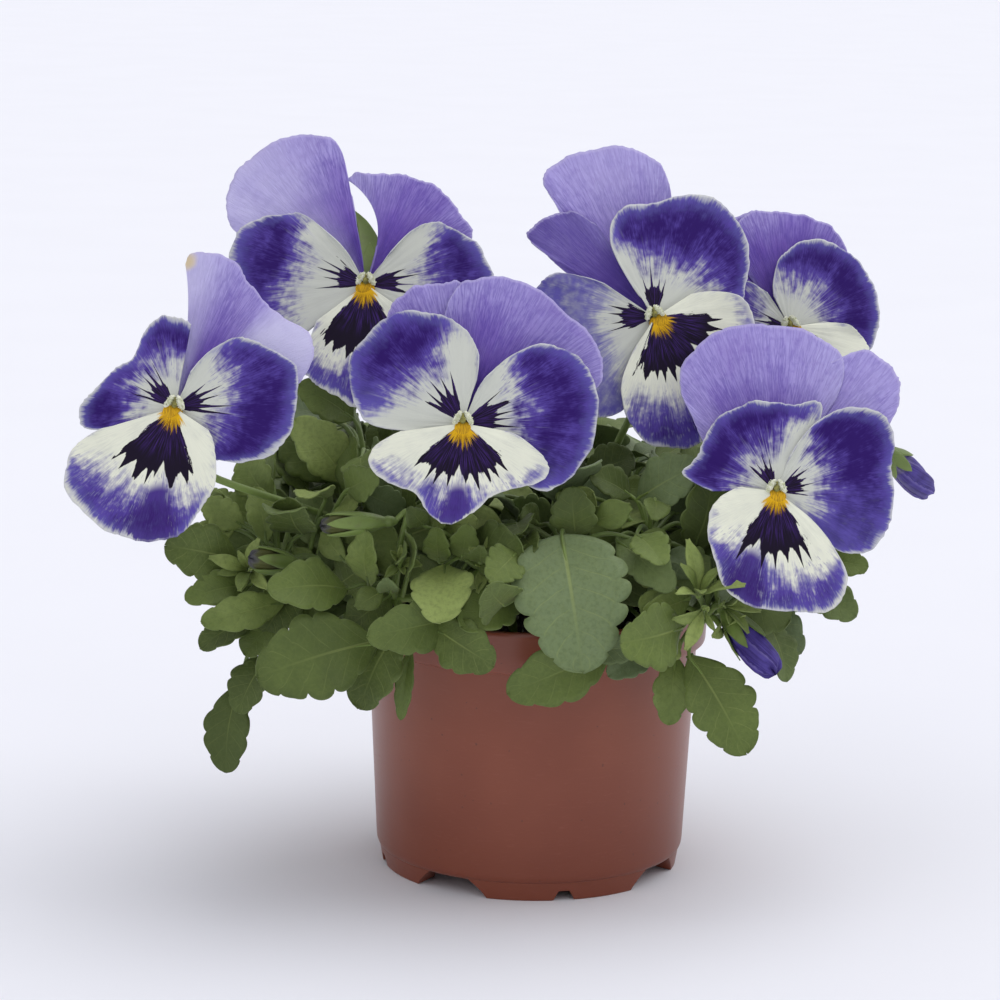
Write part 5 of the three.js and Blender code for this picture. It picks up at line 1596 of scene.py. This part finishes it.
def foliage(name, stem, leaves):
    """Grows leaves, each a pose, lobes, key and tint, as one piece; returns their stalks."""
    line = stem_curve(stem)
    keep(join(name, [grow_leaf("leaf", *leaf) for leaf in leaves]))
    return [petiole(line, leaf[0]) for leaf in leaves]


def leaf_faces():
    return sum(len(o.data.polygons) for o in bpy.data.objects if "_leaves" in o.name)


for number, (name, stem, kind) in enumerate(GROWTH):
    tints = dict(TINTS.get(name, ()))
    leaves = [(pose, leaf_lobes(pose[3], kind) + 1, 40 * number + i, tints.get(i))
              for i, pose in enumerate(LEAVES[name])]
    stalks = foliage(f"{name}_leaves", stem, leaves)
    shoot = taper(root_knots(*stem["root"]) + [Vector(p) for p in stem["path"]], 30, 1.75, 0.5)
    keep(stem_skin.dress(tubes(f"{name}_stem", [shoot, *stalks])), f"stem_{name}")
print("leaf faces:", leaf_faces())

# %% [markdown]
# ### Filling the mound
# A real plant has far more leaves than its solids need to hold its shape. More leaves
# are tried at many places along the stems, each by its own draws. One is kept if it
# stays in the mound, clear of blooms, pot and other leaves, and inside the outline that
# the foliage has in the photograph, so that no leaf covers what should be seen.

# %% Room for more leaves
FOLIAGE_OUTLINE = [
    (166, 556), (180, 528), (200, 490), (222, 482), (246, 452), (290, 385), (318, 372), (352, 392),
    (420, 500), (520, 470), (560, 440), (610, 405), (640, 425), (705, 430), (790, 520),
    (862, 548), (866, 578), (800, 606), (797, 682), (752, 758), (690, 752), (655, 700),
    (618, 690), (560, 706), (505, 700), (480, 668), (404, 718), (345, 706), (286, 706),
    (258, 772), (205, 772), (210, 700), (228, 655), (200, 640), (176, 596),
]
# leaves and buds of the photograph that no other leaf may cover: centre and half size in
# pixels, and how far forward of them, in millimetres, another leaf would hide them
SEEN_SPOTS = (
    (581, 594, 54, 74, -60), (443, 590, 33, 29, -60), (330, 652, 64, 48, -66),
    (311, 585, 38, 27, -52), (416, 627, 42, 24, -62), (725, 704, 36, 46, -60),
    (355, 526, 34, 16, -58), (282, 561, 26, 17, -54), (698, 594, 20, 24, -64),
    (748, 642, 30, 32, -56), (318, 452, 26, 38, -26), (371, 561, 17, 25, -56),
    (228, 540, 34, 28, -50), (247, 612, 38, 18, -48), (567, 512, 20, 24, -50),
    (701, 512, 26, 36, -44),
)


def inside_outline(x, y):
    """Whether a pixel lies inside the foliage's outline, by counting crossings."""
    inside = False
    for (x0, y0), (x1, y1) in zip(FOLIAGE_OUTLINE, FOLIAGE_OUTLINE[1:] + FOLIAGE_OUTLINE[:1]):
        if (y0 > y) != (y1 > y) and x < x0 + (y - y0) * (x1 - x0) / (y1 - y0):
            inside = not inside
    return inside


def hides_a_spot(p, x, y):
    return any(p.y < front and ((x - u) / a) ** 2 + ((y - v) / b) ** 2 < 1
               for u, v, a, b, front in SEEN_SPOTS)


# what a leaf stays clear of, and by how many millimetres
OBSTACLES = [(tree_of([n for n in frame["nodes"] if n.startswith(starts)]), gap)
             for starts, gap in ((("bloom", "bud"), 2.2), (("pot", "soil"), 2.5), ("stem", 1.2))]
print("foliage outline corners:", len(FOLIAGE_OUTLINE))

# %% Try leaves along the stems
# passes of tries: the stems, tries on each, shortest and longest leaf, gap to other leaves,
# and whether they are plain small ones
FILL_PASSES = (("", 170, 15, 30, 2.6, 0), ("left", 700, 15, 27, 1.7, 0),
               ("front", 420, 14, 25, 1.7, 0), ("", 260, 9, 17, 1.9, 1))
LEFT_RISE = 24  # the mound stands this much higher at its left end
MOUND_TOP, MOUND_FALL, MOUND_RADIUS, MOUND_LONG = 156, 40, 98, 1.32
RIM_CLEAR_HEIGHT, RIM_CLEAR_RADIUS = 92, 66  # no added leaf hangs against the pot
LEAF_SPAN = 22  # no leaf reaches further than this from its middle

# leaves set one by one where the photograph shows one: stem, base, tip, width, roll
PLACED = (
    ("left", (-77, -52, 106), (-88, -59, 92), 17, 0),
    ("left", (-80, -54, 98), (-94, -60, 86), 15, 10),
    ("left", (-70, -46, 108), (-78, -54, 96), 16, -10),
    ("front", (-33, -72, 98.5), (-14, -83, 89), 17, 0),
    ("front_left", (-47, -61, 106), (-60, -68, 97), 14, 0),
)


def blade_points(pose):
    base, width = pose[0], pose[3]
    along, _, up, side = leaf_frame(pose)
    for v in (0.0, 0.2, 0.4, 0.6, 0.8, 1.0):
        wide = width / 2 * min(1, math.sin(math.pi * min(v, 0.99) ** 1.25) ** 0.75)
        for s in (-1, -0.5, 0, 0.5, 1):
            lift = ARCH * along.length * math.sin(math.pi * v) + SIDE_LIFT * wide * s * s
            yield base + along * v + up * lift + side * (s * wide)


def in_the_mound(p):
    ring = math.hypot(p.x / (MOUND_LONG if p.y < 0 else 1), p.y)
    top = MOUND_TOP + LEFT_RISE * min(1, max(0, (-p.x - 25) / 30))
    if ring > MOUND_RADIUS or p.z > top - MOUND_FALL * (ring / MOUND_RADIUS) ** 2:
        return False
    return p.z >= RIM_CLEAR_HEIGHT or math.hypot(p.x, p.y) >= RIM_CLEAR_RADIUS


def fits(points, others, gap):
    for p in points:
        if not in_the_mound(p):
            return False
        if p.y < 0:
            x, y = in_picture(p)
            if not inside_outline(x, y) or hides_a_spot(p, x, y):
                return False
        if any(tree.find_nearest(p)[3] < clear for tree, clear in OBSTACLES):
            return False
    cloud = np.array(points)
    middle = cloud.mean(0)
    for centre, reach, other in others:
        if np.linalg.norm(middle - centre) <= reach + LEAF_SPAN:
            if np.linalg.norm(cloud[:, None] - other[None], axis=2).min() < gap:
                return False
    return True


def cloud_of(points):
    cloud = np.array(list(points))
    middle = cloud.mean(0)
    return middle, np.linalg.norm(cloud - middle, axis=1).max(), cloud


def tried_pose(line, dice, far, shortest, longest):
    """A leaf by its draws, some way off a place on the stem's line."""
    node = line[int(8 + 16 * dice[0])]
    outward = math.degrees(math.atan2(node.y - HEART.y * 0.3, node.x))
    turn = outward + 300 * (dice[1] - 0.5)
    base = node + polar(turn, 5 + far * dice[4], -4 + (far + 4) * dice[5])
    length = shortest + (longest - shortest) * dice[3]
    tip = base + pointing(turn + 60 * (dice[6] - 0.5), -25 + 80 * dice[2], length)
    kind = "front" if base.y < -25 else "inner" if math.hypot(base.x, base.y) < 34 else "ring"
    look = outlook(base, tip, kind)
    return base, tip, look, length * (0.68 + 0.2 * dice[7]), 50 * (dice[1] - 0.5)


def try_leaves(step, clouds):
    stems, tries, shortest, longest, gap, plain = FILL_PASSES[step]
    for number, (name, stem, kind) in enumerate(GROWTH):
        if not (name.startswith(stems) or kind.startswith(stems)):
            continue
        line = stem_curve(stem)
        for i in range(tries):
            dice = [draw(200000 * (step + 1) + 9771 * number + 13 * i + n) for n in range(8)]
            pose = tried_pose(line, dice, 30 if stems else 20, shortest, longest)
            if pose[0].z < POT_HEIGHT + 3:
                continue
            points = list(blade_points(pose))
            if fits(points, clouds, gap):
                clouds.append(cloud_of(points))
                EXTRA_LEAVES[name].append((pose, plain))


clouds, EXTRA_LEAVES = [], {name: [] for name in PLANT}
for name, base, tip, width, roll in PLACED:
    base, tip = Vector(base), Vector(tip)
    pose = (base, tip, outlook(base, tip, "front"), width, roll)
    clouds.append(cloud_of(blade_points(pose)))
    EXTRA_LEAVES[name].append((pose, 0))
for step in range(len(FILL_PASSES)):
    try_leaves(step, clouds)
    print("leaves added:", len(clouds))

# %% Grow the added leaves
for number, (name, stem, _) in enumerate(GROWTH):
    leaves = []
    for i, (pose, plain) in enumerate(EXTRA_LEAVES[name]):
        # on stems with left in their name the added leaves are drawn younger and so lighter, partly
        # as painted light for the shaded foliage under the blooms
        young = draw(53 * number + 7 * i) ** (0.9 if "left" in name else 1.6)
        key = 3000 + 150 * number + i
        lobes = 0 if plain else 3 if draw(key) < 0.6 else 4
        leaves.append((pose, lobes, key, (young, draw(59 * number + 11 * i))))
    if leaves:
        stalks = foliage(f"{name}_more_leaves", stem, leaves)
        keep(stem_skin.dress(tubes(f"{name}_more_petioles", stalks)))
print("leaf faces in all:", leaf_faces())

# %% [markdown]
# ### Bracts
# Where leaves branch off, a pansy carries tufts of narrow bracts, the stipules. They are
# small plain leaves, light green, that fan out from one point of their stem.

# %% Tufts of bracts
# each tuft: its stem, the point it fans from, its direction, bracts, length
TUFTS = (
    ("low_right", (52, -72, 110), (0.05, -0.6, 0.75), 6, 15),
    ("low_right", (54, -72, 106), (-0.2, -0.8, -0.5), 4, 13),
    ("low_right", (60, -68, 106), (0.6, -0.7, 0.1), 5, 12),
    ("low_right", (60, -62, 98), (0.5, -0.8, -0.1), 6, 12),
    ("left", (-93, -54, 112), (-0.2, -0.9, 0.2), 8, 13),
    ("left", (-84, -52, 106), (-0.1, -0.9, -0.3), 6, 11),
    ("front_left", (-44, -60, 116), (0.1, -0.9, 0.3), 6, 12),
    ("front", (-16, -62, 116), (0.1, -0.9, 0.4), 6, 11),
    ("far_right", (92, -22, 112), (0.7, -0.6, 0.1), 6, 11),
)


def tuft(stem_name, heart, way, count, length, number):
    """Narrow leaves that fan out from one point, and a short shoot that carries them."""
    heart, way = Vector(heart), Vector(way).normalized()
    side = way.cross(Vector((0, 0, 1))).normalized()
    rise = side.cross(way)
    blades = []
    for i in range(count):
        key = 7000 + 20 * number + i
        turn = 2 * math.pi * (i + 0.9 * draw(key)) / count
        lean = 0.35 + 0.9 * draw(key + 3)
        out = (way + (side * math.cos(turn) + rise * math.sin(turn)) * lean).normalized()
        far = length * (0.5 + 0.65 * draw(key + 5))
        base, look = heart + out * 1.2, (way * 1.2 - out * 0.5 + Vector((0, 0, 0.3))).normalized()
        pose = (base, base + out * far, look, far * 0.36, 0)
        blades.append(grow_leaf("bract", pose, 0, key, (0.75 + 0.3 * draw(key + 1), 0.3)))
    foot = min(stem_curve(PLANT[stem_name])[1:], key=lambda p: (p - heart).length)
    middle = foot.lerp(heart, 0.5) + Vector((0, 0, 1.5))
    keep(join(f"bracts_{number}", blades))
    shoot = tubes(f"bract_shoot_{number}", [taper([foot, middle, heart], 8, 1.0)])
    keep(stem_skin.dress(shoot))


for number, rule in enumerate(TUFTS):
    tuft(*rule, number)
for pattern in PATTERNS.values():
    bpy.data.objects.remove(pattern)
print("tufts of bracts:", len(TUFTS))

# %% [markdown]
# ## Buds
# Four buds still hold their petals furled like an umbrella: five overlapping folds wind
# round the bud, narrow where the sepals clasp them and blunt at the end. The folds are
# one grid rolled round the bud's axis. Its seam and its two ends are merged, so the
# skin is closed. Below it stand a small cup, five pointed sepals and a hooked stalk.

# %% Furled petals
BUDS = {
    "bud_1": {"on": "low_right", "base": (61, -62, 103), "tip": (77, -76, 86), "width": 11,
              "neck": 7},
    "bud_2": {"on": "back_right", "base": (126, 58, 135), "tip": (144, 79, 116), "width": 11,
              "neck": 6, "turn": 0.6, "sepals": 0.62},
    "bud_3": {"on": "front_left", "base": (-48, -64, 131), "tip": (-69, -67, 130), "width": 7,
              "neck": 3},
    "bud_4": {"on": "left", "base": (-76, -60, 115), "tip": (-92, -67, 119), "width": 8,
              "neck": 3},
}
BUD_TWIST, FOLDS = 70, 5
BUD_SHARES = (0, 0.02, 0.1, 0.25, 0.45, 0.68, 0.84, 0.94, 0.99, 1)
BUD_WIDTHS = (0, 0.3, 0.5, 0.78, 0.97, 1, 0.92, 0.78, 0.5, 0)
YOUNG = {"bud_3", "bud_4"}  # still mostly wrapped in their sepals


def bud_ends(bud):
    return Vector(bud["base"]), Vector(bud["tip"])


def round_bud(bud, share, turn, radius):
    """Points in millimetres round the bud's axis, for arrays of shares, turns and radii."""
    base, tip = bud_ends(bud)
    side = (tip - base).cross(Vector((0, 0, 1))).normalized()
    front = side.cross((tip - base).normalized())
    return (np.array(base) + np.multiply.outer(share, tip - base)
            + np.multiply.outer(radius * np.cos(turn), side)
            + np.multiply.outer(radius * np.sin(turn), front))


def furled(name, bud, key, young):
    made, u, v = sheet(name, 60, 32)
    turn = 2 * np.pi * u
    fold = (FOLDS * (u - BUD_TWIST / 360 * v) + 0.04 * np.sin(9 * v + key)) % 1.0
    slope = np.interp(v, BUD_SHARES, BUD_WIDTHS)
    ridge = 0.84 + 0.16 * np.sin(np.pi * fold**1.8) ** 0.8
    end = 1 + 0.035 * np.cos(FOLDS * turn) * (v > 0.9)
    mould(made, round_bud(bud, 0.03 + 0.97 * v * end, turn, bud["width"] / 2 * slope * ridge))
    paint(made, "bud", fold, v, young)
    edit(made, MERGE, OUTWARD)
    smooth(made)
    return made


def bud_finish():
    """Deep violet folds with a lighter, thinly edged lip, greenish at the base."""
    skin = Finish("furled_violet", Roughness=0.5, Specular_IOR_Level=0.3)
    fold, along, young = skin.painted("bud")
    vein = skin.noise(skin.vector(fold * 12.0, along * 2.0, young), 1.0, 3)
    cloud = skin.noise(skin.place(), 220, 2)
    violet = skin.mix((vein * 0.7 + cloud * 0.5).step(0.4, 0.8), rgb(46, 30, 104), rgb(80, 66, 150))
    violet = skin.mix(fold.step(0.8, 0.98) * 0.4, violet, rgb(140, 128, 192))
    dusk = skin.mix(along.step(0.3, 0.8), rgb(40, 34, 28), rgb(84, 88, 44))
    violet = skin.mix(young * (1.0 - along.step(0.85, 1.0) * 0.3), violet, dusk)
    base = (1.0 - (along + cloud.swing(0.3)).step(0.08, 0.34)) * 0.8
    skin.feed("Base Color", skin.mix(base, violet, rgb(150, 150, 130)))
    skin.bump(vein, 0.25, 0.7)
    return skin


bud_skin = bud_finish()
for key, (name, bud) in enumerate(BUDS.items(), 1):
    folds = furled(f"{name}_folds", bud, key, name in YOUNG)
    keep(bud_skin.dress(folds), f"{name}_petals")
print("buds:", list(BUDS))

# %% Cups, sepals and stalks of the buds
CUP = ((-3.2, 0.7), (-2.6, 1.25), (-1.4, 1.75), (-0.2, 2.0), (0.9, 1.7))  # place, radius


def bud_sepal(bud, turn, size):
    """A pointed sepal that hugs the bud from its cup to about three fifths of its length."""
    made, u, v = sheet("bud_sepal", 6, 16)
    share = -0.08 + (0.7 * size) * v
    half = 2.9 * np.interp(v, (0, 0.25, 0.55, 0.85, 1), (0.6, 0.95, 0.9, 0.5, 0.04))
    wide = np.interp(share, BUD_SHARES, BUD_WIDTHS) * bud["width"] / 2
    radius = np.maximum(wide, 1.3) + 0.45 + 0.4 * v**3
    mould(made, round_bud(bud, share, turn + (u * 2 - 1) * half / radius, radius))
    middle = Vector(round_bud(bud, np.array(0.3), np.array(turn), np.array(1.0)))
    base, tip = bud_ends(bud)
    thicken(made, 0.4, (middle - base.lerp(tip, 0.3)).normalized())
    return made


def bud_shoots(bud):
    """The hooked stalk and the cup at its end."""
    base, tip = bud_ends(bud)
    axis, rise = (tip - base).normalized(), Vector((0, 0, bud["neck"]))
    start = nearest_point(stem_curve(PLANT[bud["on"]]), base)
    bend = base - axis * 6 + rise
    knots = [start, start.lerp(bend, 0.5) + rise, bend, base - axis * 2, base + axis * 0.4]
    return [(base + axis * far, r) for far, r in CUP], taper(knots, 40, 1.05, 0.2)


for name, bud in BUDS.items():
    size = 1.45 if name in YOUNG else bud.get("sepals", 1)
    first = 0.35 + bud.get("turn", 0)
    parts = [bud_sepal(bud, 2 * math.pi * (i / 5) + first, size) for i in range(5)]
    cup, stalk = bud_shoots(bud)
    parts += [tubes("cup", [cup]), tubes("bud_stalk", [stalk])]
    keep(stem_skin.dress(join(f"{name}_green", parts)))
print("bud stalks:", len(BUDS))

# %% [markdown]
# ## Floor and light
# The photograph is a plain studio shot: a pale sheet with no horizon, a broad soft light
# high on the right, a weaker one in front and a little to the left, and so much light
# from all around that the shadows stay soft and pale on both sides of the pot.

# %% Floor
FLOOR = 44  # metres across, so that no edge shows


def floor_sheet():
    bpy.ops.mesh.primitive_grid_add(x_subdivisions=8, y_subdivisions=8, size=FLOOR)
    ground = bpy.context.object
    ground.name = "studio_floor"
    skin = Finish("pale_paper", Roughness=0.75, Specular_IOR_Level=0.2)
    tone = skin.noise(skin.place(), 9, 1)
    skin.feed("Base Color", skin.mix(tone, rgb(234, 235, 243), rgb(237, 238, 246)))
    skin.dress(ground)


floor_sheet()
print("floor laid")

# %% Lights
def sky(strength):
    world = bpy.data.worlds.new("studio_white")
    bpy.context.scene.world = world
    world.use_nodes = True
    glow = world.node_tree.nodes["Background"]
    glow.inputs["Color"].default_value = rgb(250, 250, 253)
    glow.inputs["Strength"].default_value = strength


def sun(name, azimuth, elevation, power, width):
    data = bpy.data.lights.new(name, "SUN")
    data.energy, data.angle = power, math.radians(width)
    lamp = new_object(name, data)
    a, e = math.radians(azimuth), math.radians(elevation)
    toward = Vector((math.cos(a) * math.cos(e), math.sin(a) * math.cos(e), math.sin(e)))
    lamp.rotation_mode = "QUATERNION"
    lamp.rotation_quaternion = toward.to_track_quat("Z", "Y")


sky(0.66)
sun("overhead_light", 22, 60, 1.36, 68)
sun("front_light", -112, 42, 0.42, 90)
bpy.context.scene.view_settings.view_transform = "Standard"
